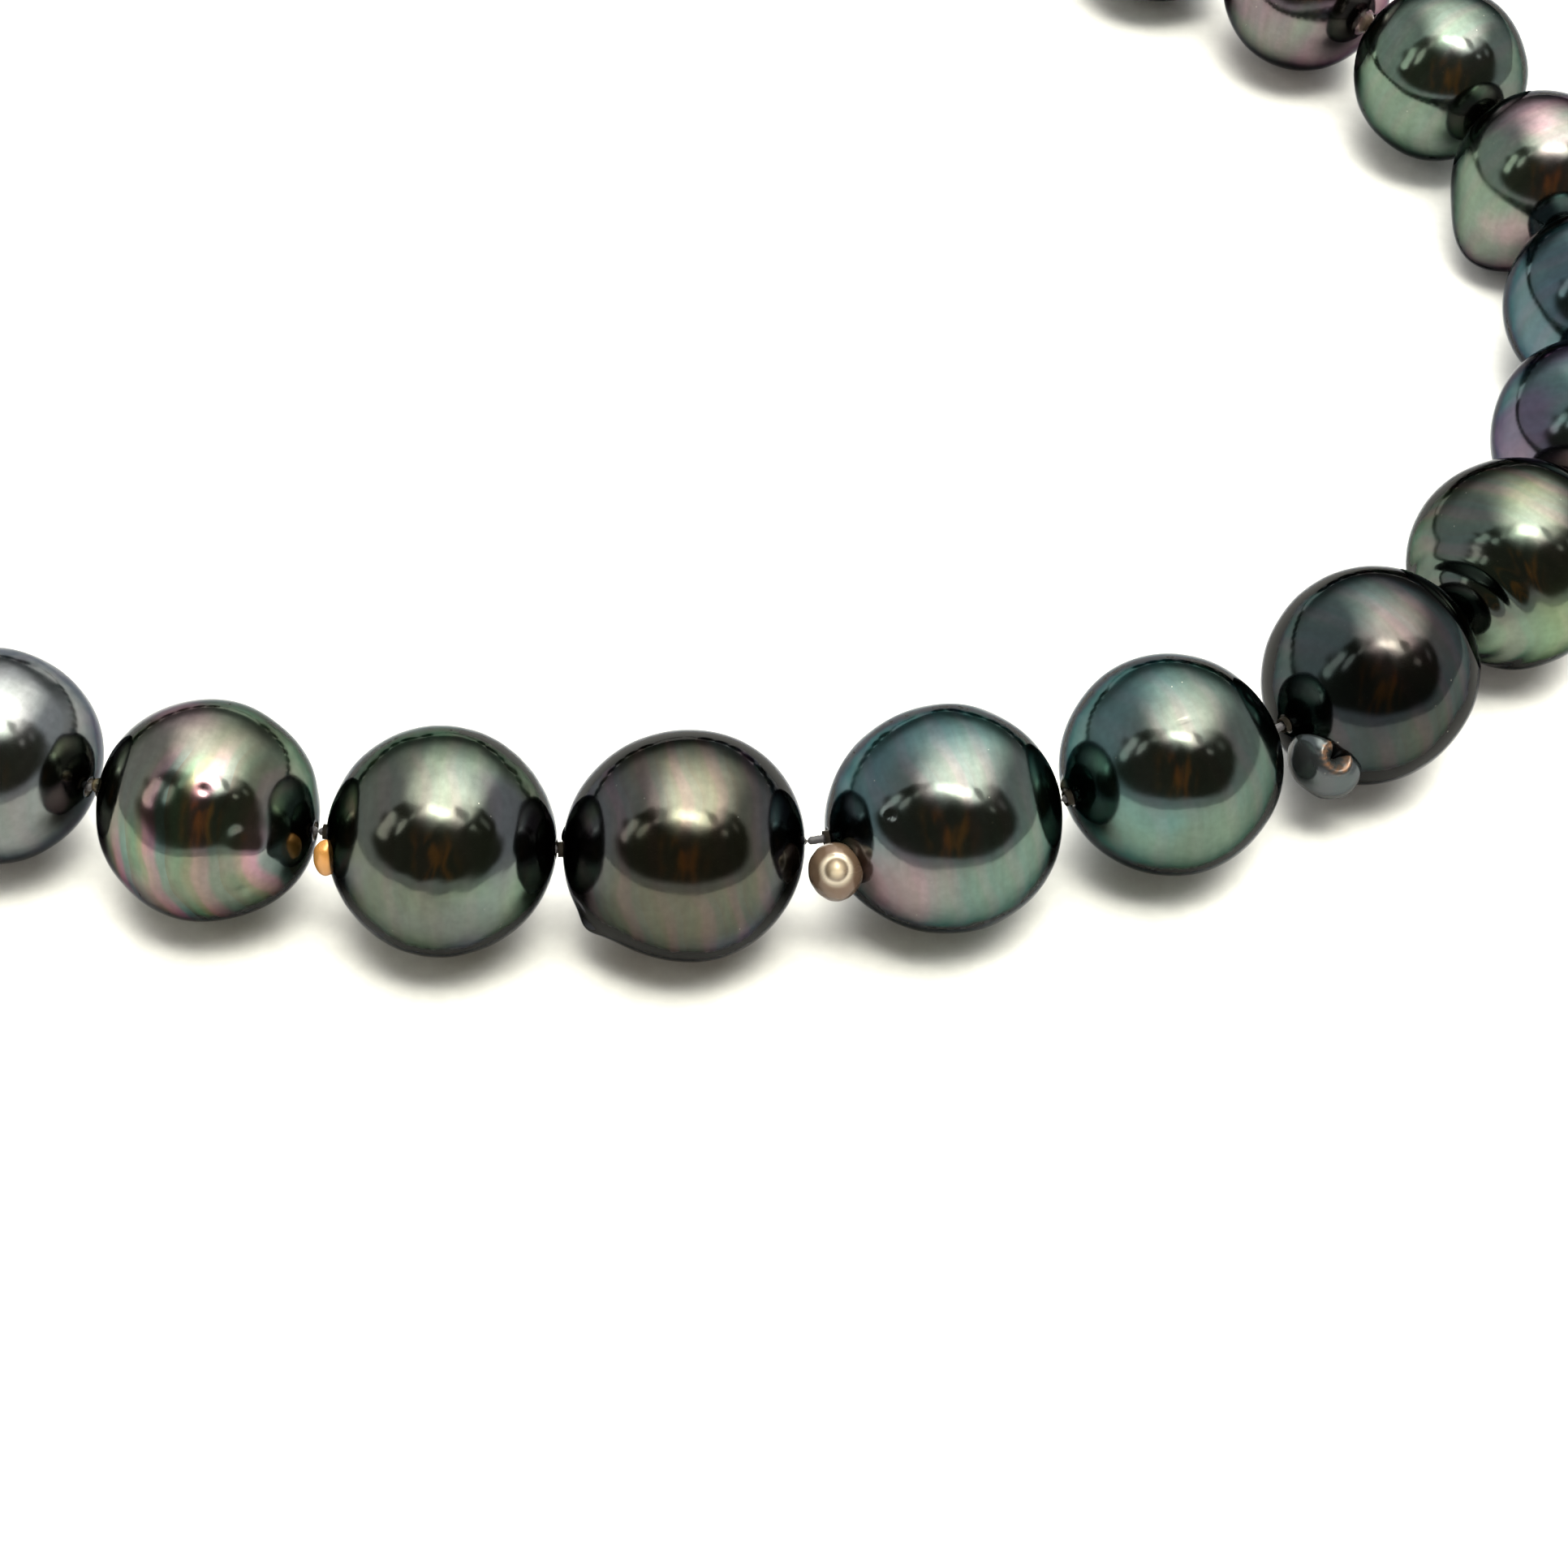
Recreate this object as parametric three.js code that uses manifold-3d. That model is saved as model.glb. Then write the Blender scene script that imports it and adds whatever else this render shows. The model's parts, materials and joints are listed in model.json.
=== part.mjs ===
// A strand of large dark baroque pearls, graduated from the front to the back.
//
// The strand lies on the plane Z = 0 in an oval, front centre towards -Y, with its
// swivel lobster claw unfastened at the back (+Y). Units are millimetres, +Z is up.
// Every pearl is drilled through, and one silk thread runs through all of them.

import * as THREE from 'three';
import { mergeVertices } from 'three/addons/utils/BufferGeometryUtils.js';
import Module from 'manifold-3d';

const wasm = await Module();
wasm.setup();

// ---- Driving dimensions ----

const OVAL = { halfLength: 74.8, halfWidth: 53.2 };
const PEARL_GAP = 0.35;
const DRILL_RADIUS = 0.5;
const DRILL_SIDES = 10;
const PEARL_AROUND = 16;
const PEARL_ALONG = 8;

const THREAD = { radius: 0.27, sides: 8, knotRadius: 0.72, knotFromPearl: 0.85 };
const GIMP = {
  outer: 0.45,
  inner: 0.34,
  sides: 8,
  steps: 18,
  start: 0.95,
  legGap: 0.52,
  midGap: 0.68,
  midBack: 0.4,
  loop: 1.05,
  reach: 4.2,
};
const RING = { centreRadius: 1.9, wire: 0.4, wireSides: 6, around: 18 };
const RING_SLACK = 0.05;
const CLASP_HEIGHT = 1.55;

const EYE = {
  centreRadius: 1.1,
  wire: 0.35,
  postRadius: 0.45,
  postFrom: 1.2,
  headFrom: 3.95,
  headTo: 4.35,
  headRadius: 0.7,
};
const CLAW = {
  thick: 2.6,
  soft: 0.35,
  outer: { x: 8.2, halfLong: 5.3, halfWide: 3.3 },
  mouth: { x: 9.3, halfLong: 2.9, halfWide: 1.75 },
  neck: { from: 1.9, to: 4.2, radius: 1.15 },
  gate: { from: 7.45, to: 11.3, low: 0.35 },
  slot: { from: 3.75, to: 7.6, low: -0.9, thick: 1.3 },
  head: { from: 3.8, to: 4.6, radius: 0.85 },
  swivelBore: 0.54,
};
const RIVET = { x: 5.5, y: 1.3, radius: 0.4, holeRadius: 0.46 };
const LEVER = {
  hubRadius: 0.95,
  thick: 1.1,
  gateThick: 2.2,
  clearance: 0.28,
  arm: { x: 8.2, y: 2.3, half: 0.6 },
  tab: { x: 4.75, y: 3.9, half: 0.5, thumbRadius: 0.62 },
};
const SPRING = { thick: 0.2, wide: 0.9, steps: 8, line: [[4.9, -0.74], [5.7, -0.45], [6.4, 0.1], [7, 0.9]] };

const WHITE_METAL = { color: 0xc9c8c4, roughness: 0.2, metalness: 1 };

// ---- The pearls, from the left end of the strand round the front to the right end ----
//
// width     diameter across the drill axis
// lead      extra length at the end that faces the previous pearl, where a tail or nub stands
// longer    how much further the skin reaches at that same end, where the pearl is oval
// lobes     broad swellings: [turn, tilt, height, spread]
// nubs      small knobs: [turn, tilt, distance, radius]
// rings     a growth groove round the drill axis: [angle from the leading end, depth, spread]
//
// Directions are degrees in the pearl's own frame, in which +X runs along the drill axis
// to the next pearl, +Y points into the oval and +Z is up: turn is measured from +X
// towards +Y, and tilt upwards. Heights, distances and radii are fractions of the pearl's
// radius, and spreads are degrees.

const FRONT = 13;

const PEARLS = [
  { width: 12.2, lead: 0, lobes: [[20, 40, 0.03, 40]], color: 0x555a52 },
  { width: 12.4, lead: 0, color: 0x4a5350 },
  { width: 12.5, lead: 0, lobes: [[40, -20, 0.03, 40]], color: 0x58524f },
  { width: 12.7, lead: 0, color: 0x3f4b4c },
  { width: 12.8, lead: 0.3, nubs: [[172, 6, 0.94, 0.12]], color: 0x56604f },
  { width: 12.9, lead: 0, rings: [[38, 0.025, 6]], color: 0x4b4350 },
  { width: 13.0, lead: 0, color: 0x465550 },
  { width: 13.1, lead: 0, lobes: [[150, -30, 0.04, 35]], color: 0x5d6058 },
  { width: 13.2, lead: 0.4, nubs: [[184, -8, 0.95, 0.14]], color: 0x3d4441 },
  { width: 13.2, lead: 0, color: 0x515a61 },
  { width: 13.3, lead: 0, rings: [[146, 0.02, 7]], color: 0x4a5449 },
  { width: 13.5, lead: 0, color: 0x8b8c8c },
  { width: 13.8, lead: 0.4, nubs: [[189, 15, 0.98, 0.07]], lobes: [[-28, -4, 0.035, 26]], color: 0x737a72 },
  { width: 14.2, lead: 0.35, nubs: [[198, 2, 0.98, 0.13]], color: 0x4d5651 },
  {
    width: 14.3,
    lead: 0.55,
    longer: 0.45,
    nubs: [[175, 4, 0.9, 0.12]],
    lobes: [[206, -21, 0.05, 22]],
    color: 0x4b4a3d,
  },
  {
    width: 14.2,
    lead: 1.7,
    longer: 0.7,
    nubs: [[208, 1, 1.06, 0.25]],
    lobes: [[208, -1, -0.04, 24]],
    color: 0x55605a,
  },
  { width: 14.0, lead: 0.4, nubs: [[174, 2, 0.95, 0.1]], lobes: [[-114, 73, 0.015, 30]], color: 0x4f5a56 },
  { width: 14.1, lead: 1.2, nubs: [[193, -21, 1.02, 0.29]], lobes: [[189, -16, 0.06, 40]], color: 0x3c4143 },
  {
    width: 13.9,
    lead: 0.2,
    rings: [[30, 0.03, 6], [44, 0.02, 6]],
    lobes: [[175, 0, 0.03, 30]],
    color: 0x4a4538,
  },
  { width: 13.5, lead: 0, color: 0x4f4a58 },
  { width: 13.1, lead: 0, color: 0x3f5357 },
  { width: 12.8, lead: 0.1, lobes: [[103, -42, 0.2, 26]], color: 0x6d5c66 },
  { width: 12.9, lead: 0, color: 0x59635c },
  { width: 12.9, lead: 0.4, nubs: [[168, 6, 0.96, 0.14]], color: 0x6a5f63 },
  { width: 12.6, lead: 0, lobes: [[60, 10, 0.03, 40]], color: 0x4b5554 },
  { width: 12.4, lead: 0, color: 0x525060 },
  { width: 12.2, lead: 0, lobes: [[160, 30, 0.03, 40]], color: 0x46514f },
];

// ---- Solids ----

function toSolid(geometry) {
  const bare = geometry.index ? geometry.toNonIndexed() : geometry.clone();
  bare.deleteAttribute('normal');
  bare.deleteAttribute('uv');
  const merged = mergeVertices(bare, 1e-4);
  const mesh = new wasm.Mesh({
    numProp: 3,
    vertProperties: new Float32Array(merged.attributes.position.array),
    triVerts: new Uint32Array(merged.index.array),
  });
  return new wasm.Manifold(mesh);
}

function toGeometry(solid) {
  const mesh = solid.getMesh();
  const geometry = new THREE.BufferGeometry();
  geometry.setAttribute('position', new THREE.BufferAttribute(new Float32Array(mesh.vertProperties), 3));
  geometry.setIndex(new THREE.BufferAttribute(new Uint32Array(mesh.triVerts), 1));
  geometry.computeVertexNormals();
  return geometry;
}

function joined(geometries) {
  return geometries.map(toSolid).reduce((whole, piece) => whole.add(piece));
}

function direction(turn, tilt) {
  const t = THREE.MathUtils.degToRad(turn);
  const e = THREE.MathUtils.degToRad(tilt);
  return new THREE.Vector3(Math.cos(t) * Math.cos(e), Math.sin(t) * Math.cos(e), Math.sin(e));
}

function bell(angle, spread) {
  return Math.exp(-((angle / THREE.MathUtils.degToRad(spread)) ** 2));
}

// ---- The lie of the strand ----

function onOval(angle) {
  return new THREE.Vector2(OVAL.halfLength * Math.sin(angle), -OVAL.halfWidth * Math.cos(angle));
}

// The oval angle whose point is the given straight distance from the point at start.
function stepAlong(start, distance, sense) {
  const from = onOval(start);
  let near = 0;
  let far = 1;
  for (let i = 0; i < 40; i += 1) {
    const middle = (near + far) / 2;
    if (onOval(start + sense * middle).distanceTo(from) < distance) near = middle;
    else far = middle;
  }
  return start + sense * near;
}

function linkLength(pearl) {
  return pearl.lead + pearl.width + PEARL_GAP;
}

function layPivots() {
  const angles = new Array(PEARLS.length + 1);
  angles[FRONT] = stepAlong(0, linkLength(PEARLS[FRONT]) / 2, -1);
  for (let i = FRONT; i < PEARLS.length; i += 1) {
    angles[i + 1] = stepAlong(angles[i], linkLength(PEARLS[i]), 1);
  }
  for (let i = FRONT - 1; i >= 0; i -= 1) {
    angles[i] = stepAlong(angles[i + 1], linkLength(PEARLS[i]), -1);
  }
  return angles.map((angle, i) => {
    const before = PEARLS[Math.max(i - 1, 0)].width / 2;
    const after = PEARLS[Math.min(i, PEARLS.length - 1)].width / 2;
    const place = onOval(angle);
    return new THREE.Vector3(place.x, place.y, (before + after) / 2);
  });
}

const pivots = layPivots();

// ---- Pearls ----

function pearlReach(pearl, way) {
  let reach = 1;
  for (const [turn, tilt, height, spread] of pearl.lobes ?? []) {
    reach += height * bell(way.angleTo(direction(turn, tilt)), spread);
  }
  for (const [angle, depth, spread] of pearl.rings ?? []) {
    const fromLead = Math.PI - Math.acos(THREE.MathUtils.clamp(way.x, -1, 1));
    reach -= depth * bell(fromLead - THREE.MathUtils.degToRad(angle), spread);
  }
  return reach;
}

// Draws out the half of a shape that faces the previous pearl.
function stretchLead(geometry, factor) {
  const points = geometry.attributes.position;
  for (let i = 0; i < points.count; i += 1) {
    if (points.getX(i) < 0) points.setX(i, points.getX(i) * factor);
  }
}

function pearlGeometry(pearl) {
  const radius = pearl.width / 2;
  const skin = new THREE.SphereGeometry(1, PEARL_AROUND, PEARL_ALONG);
  skin.rotateZ(-Math.PI / 2);
  const points = skin.attributes.position;
  for (let i = 0; i < points.count; i += 1) {
    const way = new THREE.Vector3().fromBufferAttribute(points, i).normalize();
    const point = way.clone().multiplyScalar(radius * pearlReach(pearl, way));
    points.setXYZ(i, point.x, point.y, point.z);
  }
  const pieces = [skin];
  for (const [turn, tilt, distance, size] of pearl.nubs ?? []) {
    const nub = new THREE.SphereGeometry(radius * size, 10, 6);
    const place = direction(turn, tilt).multiplyScalar(radius * distance);
    nub.translate(place.x, place.y, place.z);
    pieces.push(nub);
  }
  for (const piece of pieces) stretchLead(piece, 1 + (pearl.longer ?? 0) / radius);
  const drill = new THREE.CylinderGeometry(DRILL_RADIUS, DRILL_RADIUS, 4 * radius, DRILL_SIDES);
  drill.rotateZ(Math.PI / 2);
  return toGeometry(joined(pieces).subtract(toSolid(drill)));
}

// A frame with +X along the given way and +Y level.
function frameAlong(way) {
  const x = way.clone().normalize();
  const y = new THREE.Vector3(0, 0, 1).cross(x).normalize();
  const z = x.clone().cross(y);
  return new THREE.Matrix4().makeBasis(x, y, z);
}

function named(name, geometry, look) {
  const mesh = new THREE.Mesh(geometry, new THREE.MeshStandardMaterial(look));
  mesh.name = name;
  return mesh;
}

function addPearls(group) {
  PEARLS.forEach((pearl, i) => {
    const way = pivots[i + 1].clone().sub(pivots[i]);
    const toCentre = PEARL_GAP / 2 + pearl.lead + pearl.width / 2;
    const mesh = named(`pearl_${String(i + 1).padStart(2, '0')}`, pearlGeometry(pearl), {
      color: pearl.color,
      roughness: 0.18,
      metalness: 0.55,
    });
    mesh.quaternion.setFromRotationMatrix(frameAlong(way));
    mesh.position.copy(pivots[i]).addScaledVector(way.normalize(), toCentre);
    group.add(mesh);
  });
}

// ---- The strand's two ends, which lie on one level line ----

const UP = new THREE.Vector3(0, 0, 1);
const leftOut = pivots.at(0).clone().sub(pivots.at(1)).normalize();
const rightOut = pivots.at(-1).clone().sub(pivots.at(-2)).normalize();
const knotFromPivot = THREAD.knotFromPearl - PEARL_GAP / 2;
const leftKnot = pivots.at(0).clone().addScaledVector(leftOut, knotFromPivot);
const rightKnot = pivots.at(-1).clone().addScaledVector(rightOut, knotFromPivot);
const toRight = rightKnot.clone().sub(leftKnot).setZ(0).normalize();
const toLeft = toRight.clone().negate();

function levelPoint(knot, toward, distance) {
  return knot.clone().addScaledVector(toward, distance).setZ(CLASP_HEIGHT);
}

// The middle line of a gimp loop: out from the knot, round the ring's wire and back,
// in the upright plane through the line between the two ends.
function gimpCurve(knot, toward) {
  const loopCentre = levelPoint(knot, toward, GIMP.reach);
  const along = loopCentre.clone().sub(knot);
  const length = along.length();
  along.normalize();
  const across = along.clone().cross(UP.clone().cross(toward)).normalize();
  const place = (u, v) => knot.clone().addScaledVector(along, u).addScaledVector(across, v);
  const middle = (GIMP.start + length) / 2 - GIMP.midBack;
  const points = [place(GIMP.start, GIMP.legGap), place(middle, GIMP.midGap)];
  for (let degrees = 120; degrees >= -120; degrees -= 30) {
    const angle = THREE.MathUtils.degToRad(degrees);
    points.push(place(length + GIMP.loop * Math.cos(angle), GIMP.loop * Math.sin(angle)));
  }
  points.push(place(middle, -GIMP.midGap), place(GIMP.start, -GIMP.legGap));
  return new THREE.CatmullRomCurve3(points);
}

const leftGimp = gimpCurve(leftKnot, toRight);
const rightGimp = gimpCurve(rightKnot, toLeft);

function polygon(radius, sides, Kind = THREE.Shape) {
  const corners = [];
  for (let i = 0; i < sides; i += 1) {
    const angle = (2 * Math.PI * i) / sides;
    corners.push(new THREE.Vector2(radius * Math.cos(angle), radius * Math.sin(angle)));
  }
  return new Kind(corners);
}

function gimpGeometry(curve) {
  const section = polygon(GIMP.outer, GIMP.sides);
  section.holes.push(polygon(GIMP.inner, GIMP.sides, THREE.Path));
  return new THREE.ExtrudeGeometry(section, { steps: GIMP.steps, extrudePath: curve, bevelEnabled: false });
}

// A line of straight stretches, sampled at its corners.
class CornerPath extends THREE.Curve {
  constructor(corners) {
    super();
    this.corners = corners;
  }

  getPoint(t) {
    const place = t * (this.corners.length - 1);
    const i = Math.min(Math.floor(place), this.corners.length - 2);
    return this.corners[i].clone().lerp(this.corners[i + 1], place - i);
  }

  getPointAt(u) {
    return this.getPoint(u);
  }

  getTangentAt(u) {
    const last = this.corners.length - 1;
    const i = Math.round(u * last);
    const here = this.corners[i];
    const before = this.corners[Math.max(i - 1, 0)];
    const after = this.corners[Math.min(i + 1, last)];
    const arriving = here.clone().sub(before).normalize();
    const leaving = after.clone().sub(here).normalize();
    return arriving.add(leaving).normalize();
  }
}

// The silk runs round the left gimp loop, through every pearl and round the right one.
// Its two tails end inside the knots.
function threadGeometry() {
  const leftLoop = leftGimp.getSpacedPoints(GIMP.steps);
  const rightLoop = rightGimp.getSpacedPoints(GIMP.steps);
  const intoKnot = (from, knot) => knot.clone().lerp(from, 0.4);
  const corners = [
    intoKnot(leftLoop.at(0), leftKnot),
    ...leftLoop,
    leftKnot,
    ...pivots,
    rightKnot,
    ...rightLoop.toReversed(),
    intoKnot(rightLoop.at(0), rightKnot),
  ];
  const silk = new THREE.ExtrudeGeometry(polygon(THREAD.radius, THREAD.sides), {
    steps: corners.length - 1,
    extrudePath: new CornerPath(corners),
    bevelEnabled: false,
  });
  const knots = [leftKnot, rightKnot].map((place) =>
    new THREE.SphereGeometry(THREAD.knotRadius, 12, 8).translate(place.x, place.y, place.z));
  return toGeometry(joined([silk, ...knots]));
}

function addEnds(group) {
  group.add(named('silk_thread', threadGeometry(), { color: 0x2c2a2c, roughness: 0.7, metalness: 0 }));
  group.add(named('gimp_left', gimpGeometry(leftGimp), { ...WHITE_METAL, roughness: 0.4 }));
  group.add(named('gimp_right', gimpGeometry(rightGimp), { ...WHITE_METAL, roughness: 0.4 }));
  const ringReach = GIMP.reach + RING_SLACK + RING.centreRadius;
  const ends = [['ring_left', leftKnot, toRight], ['ring_right', rightKnot, toLeft]];
  for (const [name, knot, toward] of ends) {
    const wire = new THREE.TorusGeometry(RING.centreRadius, RING.wire, RING.wireSides, RING.around);
    const ring = named(name, wire, WHITE_METAL);
    ring.position.copy(levelPoint(knot, toward, ringReach));
    group.add(ring);
  }
}

// ---- The swivel lobster claw, in its own frame ----
//
// The origin is the middle of the eye, +X runs to the nose and +Z is up.

function plate(shape, thick, curveSegments = 14) {
  const flat = new THREE.ExtrudeGeometry(shape, { depth: thick, bevelEnabled: false, curveSegments });
  return flat.translate(0, 0, -thick / 2);
}

function oval({ x, halfLong, halfWide }) {
  const shape = new THREE.Shape();
  shape.absellipse(x, 0, halfLong, halfWide, 0, 2 * Math.PI);
  return shape;
}

function block(x0, x1, y0, y1, thick) {
  const box = new THREE.BoxGeometry(x1 - x0, y1 - y0, thick);
  return box.translate((x0 + x1) / 2, (y0 + y1) / 2, 0);
}

function rodAlongX(radius, x0, x1, sides = 16) {
  const rod = new THREE.CylinderGeometry(radius, radius, x1 - x0, sides);
  return rod.rotateZ(-Math.PI / 2).translate((x0 + x1) / 2, 0, 0);
}

function rodUpright(radius, x, y, height, sides = 16) {
  const rod = new THREE.CylinderGeometry(radius, radius, height, sides);
  return rod.rotateX(Math.PI / 2).translate(x, y, 0);
}

// A flat bar with round ends from one point to another.
function bar(x0, y0, x1, y1, half, thick) {
  const shape = new THREE.Shape();
  const heading = Math.atan2(y1 - y0, x1 - x0);
  shape.absarc(x1, y1, half, heading - Math.PI / 2, heading + Math.PI / 2);
  shape.absarc(x0, y0, half, heading + Math.PI / 2, heading + (3 * Math.PI) / 2);
  return plate(shape, thick, 6);
}

function eyeGeometry() {
  const loop = new THREE.TorusGeometry(EYE.centreRadius, EYE.wire, 8, 18).rotateX(Math.PI / 2);
  const post = rodAlongX(EYE.postRadius, EYE.postFrom, EYE.headTo, 12);
  const head = rodAlongX(EYE.headRadius, EYE.headFrom, EYE.headTo, 12);
  return toGeometry(joined([loop, post, head]));
}

// The claw's outline with softened edges: three layers, the outer two drawn in.
function softOval(size, thick) {
  const drawnIn = { ...size, halfLong: size.halfLong - CLAW.soft, halfWide: size.halfWide - CLAW.soft };
  return toSolid(plate(oval(size), thick - 2 * CLAW.soft)).add(toSolid(plate(oval(drawnIn), thick)));
}

function clawGeometry() {
  const { outer, mouth, neck, gate, slot, head } = CLAW;
  const beyond = 2 * CLAW.thick;
  const farSide = outer.halfWide + 1;
  let claw = softOval(outer, CLAW.thick).add(toSolid(rodAlongX(neck.radius, neck.from, neck.to)));
  const cuts = [
    plate(oval(mouth), beyond),
    block(gate.from, gate.to, gate.low, farSide, beyond),
    block(slot.from, slot.to, slot.low, farSide, slot.thick),
    rodAlongX(head.radius, head.from, head.to),
    rodAlongX(CLAW.swivelBore, 0, slot.from + 0.1, 12),
    rodUpright(RIVET.holeRadius, RIVET.x, RIVET.y, beyond, 12),
  ];
  for (const cut of cuts) claw = claw.subtract(toSolid(cut));
  return toGeometry(claw);
}

function leverGeometry() {
  const { outer, mouth, gate } = CLAW;
  const { clearance, thick, gateThick, arm, tab } = LEVER;
  const window = block(gate.from + clearance, gate.to - clearance, gate.low, outer.halfWide + 1, gateThick);
  const gatePiece = softOval(outer, gateThick)
    .subtract(toSolid(plate(oval(mouth), 2 * gateThick)))
    .intersect(toSolid(window));
  const hub = rodUpright(LEVER.hubRadius, RIVET.x, RIVET.y, thick);
  const armBar = bar(RIVET.x, RIVET.y, arm.x, arm.y, arm.half, thick);
  const tabBar = bar(RIVET.x, RIVET.y, tab.x, tab.y, tab.half, thick);
  const thumb = rodUpright(tab.thumbRadius, tab.x, tab.y, gateThick);
  const hole = rodUpright(RIVET.holeRadius, RIVET.x, RIVET.y, 2 * thick, 12);
  const lever = joined([hub, armBar, tabBar, thumb]).add(gatePiece).subtract(toSolid(hole));
  return toGeometry(lever);
}

function springGeometry() {
  const line = new THREE.SplineCurve(SPRING.line.map(([x, y]) => new THREE.Vector2(x, y)));
  const side = (sense) => Array.from({ length: SPRING.steps + 1 }, (_, i) => {
    const t = i / SPRING.steps;
    const along = line.getTangent(t);
    const across = new THREE.Vector2(-along.y, along.x);
    return line.getPoint(t).addScaledVector(across, (sense * SPRING.thick) / 2);
  });
  return plate(new THREE.Shape([...side(-1), ...side(1).reverse()]), SPRING.wide);
}

function addClasp(group) {
  const clasp = new THREE.Group();
  clasp.position.copy(levelPoint(leftKnot, toRight, GIMP.reach + 2 * RING.centreRadius + 3 * RING_SLACK));
  clasp.quaternion.setFromRotationMatrix(frameAlong(toRight));
  const steel = { ...WHITE_METAL, roughness: 0.3 };
  clasp.add(named('clasp_eye', eyeGeometry(), WHITE_METAL));
  clasp.add(named('clasp_claw', clawGeometry(), WHITE_METAL));
  clasp.add(named('clasp_lever', leverGeometry(), WHITE_METAL));
  clasp.add(named('clasp_rivet', rodUpright(RIVET.radius, RIVET.x, RIVET.y, CLAW.thick, 12), steel));
  clasp.add(named('clasp_spring', springGeometry(), steel));
  group.add(clasp);
}

// ---- The necklace, with its origin under the middle of its box ----

const necklace = new THREE.Group();
addPearls(necklace);
addEnds(necklace);
addClasp(necklace);

const box = new THREE.Box3().setFromObject(necklace);
const middle = box.getCenter(new THREE.Vector3());
necklace.position.set(-middle.x, -middle.y, -box.min.z);

export default necklace;
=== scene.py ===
"""A graduated strand of dark baroque pearls on silk, unclasped, on a pale floor."""

import json
import math

import bmesh
import bpy
import numpy as np
from mathutils import Matrix, Vector


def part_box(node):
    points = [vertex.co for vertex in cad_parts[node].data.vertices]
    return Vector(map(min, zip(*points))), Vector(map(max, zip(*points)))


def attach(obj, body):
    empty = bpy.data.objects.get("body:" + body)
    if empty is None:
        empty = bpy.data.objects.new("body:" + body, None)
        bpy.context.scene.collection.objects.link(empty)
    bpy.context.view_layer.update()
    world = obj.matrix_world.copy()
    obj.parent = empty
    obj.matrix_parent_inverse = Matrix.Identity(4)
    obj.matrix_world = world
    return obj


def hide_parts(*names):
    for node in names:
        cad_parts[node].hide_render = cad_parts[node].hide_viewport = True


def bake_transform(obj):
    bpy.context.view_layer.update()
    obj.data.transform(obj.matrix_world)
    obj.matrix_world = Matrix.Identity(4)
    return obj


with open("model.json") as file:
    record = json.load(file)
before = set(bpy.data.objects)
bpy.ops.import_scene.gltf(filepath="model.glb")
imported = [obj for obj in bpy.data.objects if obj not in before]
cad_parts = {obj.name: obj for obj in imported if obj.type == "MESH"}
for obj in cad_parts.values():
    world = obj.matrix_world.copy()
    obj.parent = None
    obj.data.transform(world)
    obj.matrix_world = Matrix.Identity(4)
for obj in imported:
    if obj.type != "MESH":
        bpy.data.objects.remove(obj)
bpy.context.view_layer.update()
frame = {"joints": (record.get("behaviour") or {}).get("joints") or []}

SCENE = bpy.context.scene
MM = 0.001

# ---- Driving sizes, in millimetres, the same as the CAD's ----

PEARL_GAP = 0.35
DRILL_RADIUS = 0.5
THREAD_RADIUS = 0.27
THREAD_PLIES = 3
KNOT_FROM_PEARL = 0.85
KNOT_RADIUS = 0.72
GIMP_RADIUS = 0.45
GIMP_WIRE = 0.055
GIMP_PITCH = 0.13
GIMP_START = 0.95
GIMP_LEG_GAP = 0.52
GIMP_MIDDLE_GAP = 0.68
GIMP_MIDDLE_BACK = 0.4
GIMP_LOOP = 1.05
GIMP_REACH = 4.2
RING_RADIUS = 1.9
RING_WIRE = 0.4
EYE_RADIUS = 1.1
EYE_WIRE = 0.35
CLAW_THICK = 2.6
LEFT_KNOT = Vector((-19.623, 52.204, 6.196)) * MM
RIGHT_KNOT = Vector((11.898, 53.385, 6.196)) * MM
CLASP_LEVEL = 1.649
RING_SLACK = 0.05

# ---- The view ----

LENS = 83.85
VIEW_TARGET = (20.68, -45.38, 7.0)
VIEW_DISTANCE = 227.5
VIEW_AZIMUTH = 2.91
VIEW_ELEVATION = 51.06
VIEW_ROLL = 2.34


def view_axes():
    """Right, up and back of the main view, as unit vectors."""
    azimuth = math.radians(VIEW_AZIMUTH)
    elevation = math.radians(VIEW_ELEVATION)
    back = Vector((
        math.sin(azimuth) * math.cos(elevation),
        -math.cos(azimuth) * math.cos(elevation),
        math.sin(elevation),
    ))
    right = Vector((math.cos(azimuth), math.sin(azimuth), 0.0))
    up = back.cross(right)
    return right, up, back


def make_camera():
    right, up, back = view_axes()
    roll = math.radians(VIEW_ROLL)
    rolled_right = right * math.cos(roll) + up * math.sin(roll)
    rolled_up = back.cross(rolled_right)
    data = bpy.data.cameras.new("camera")
    data.sensor_width = 36.0
    data.lens = LENS
    data.clip_start = 0.005
    camera = bpy.data.objects.new("camera", data)
    place = Vector(VIEW_TARGET) * MM + back * VIEW_DISTANCE * MM
    turn = Matrix((rolled_right, rolled_up, back)).transposed()
    camera.matrix_world = Matrix.Translation(place) @ turn.to_4x4()
    SCENE.collection.objects.link(camera)
    SCENE.camera = camera


make_camera()

# ---- Node graphs ----


def linear(colour):
    """A hex colour such as 0x4D5651 as linear red, green and blue."""
    parts = [((colour >> shift) & 255) / 255 for shift in (16, 8, 0)]
    return tuple(c / 12.92 if c <= 0.04045 else ((c + 0.055) / 1.055) ** 2.4 for c in parts)


# The Mix node's amount and two colours among its inputs, and its colour among its outputs.
MIX_INPUTS = (0, 6, 7)
MIX_COLOUR = 2


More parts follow.
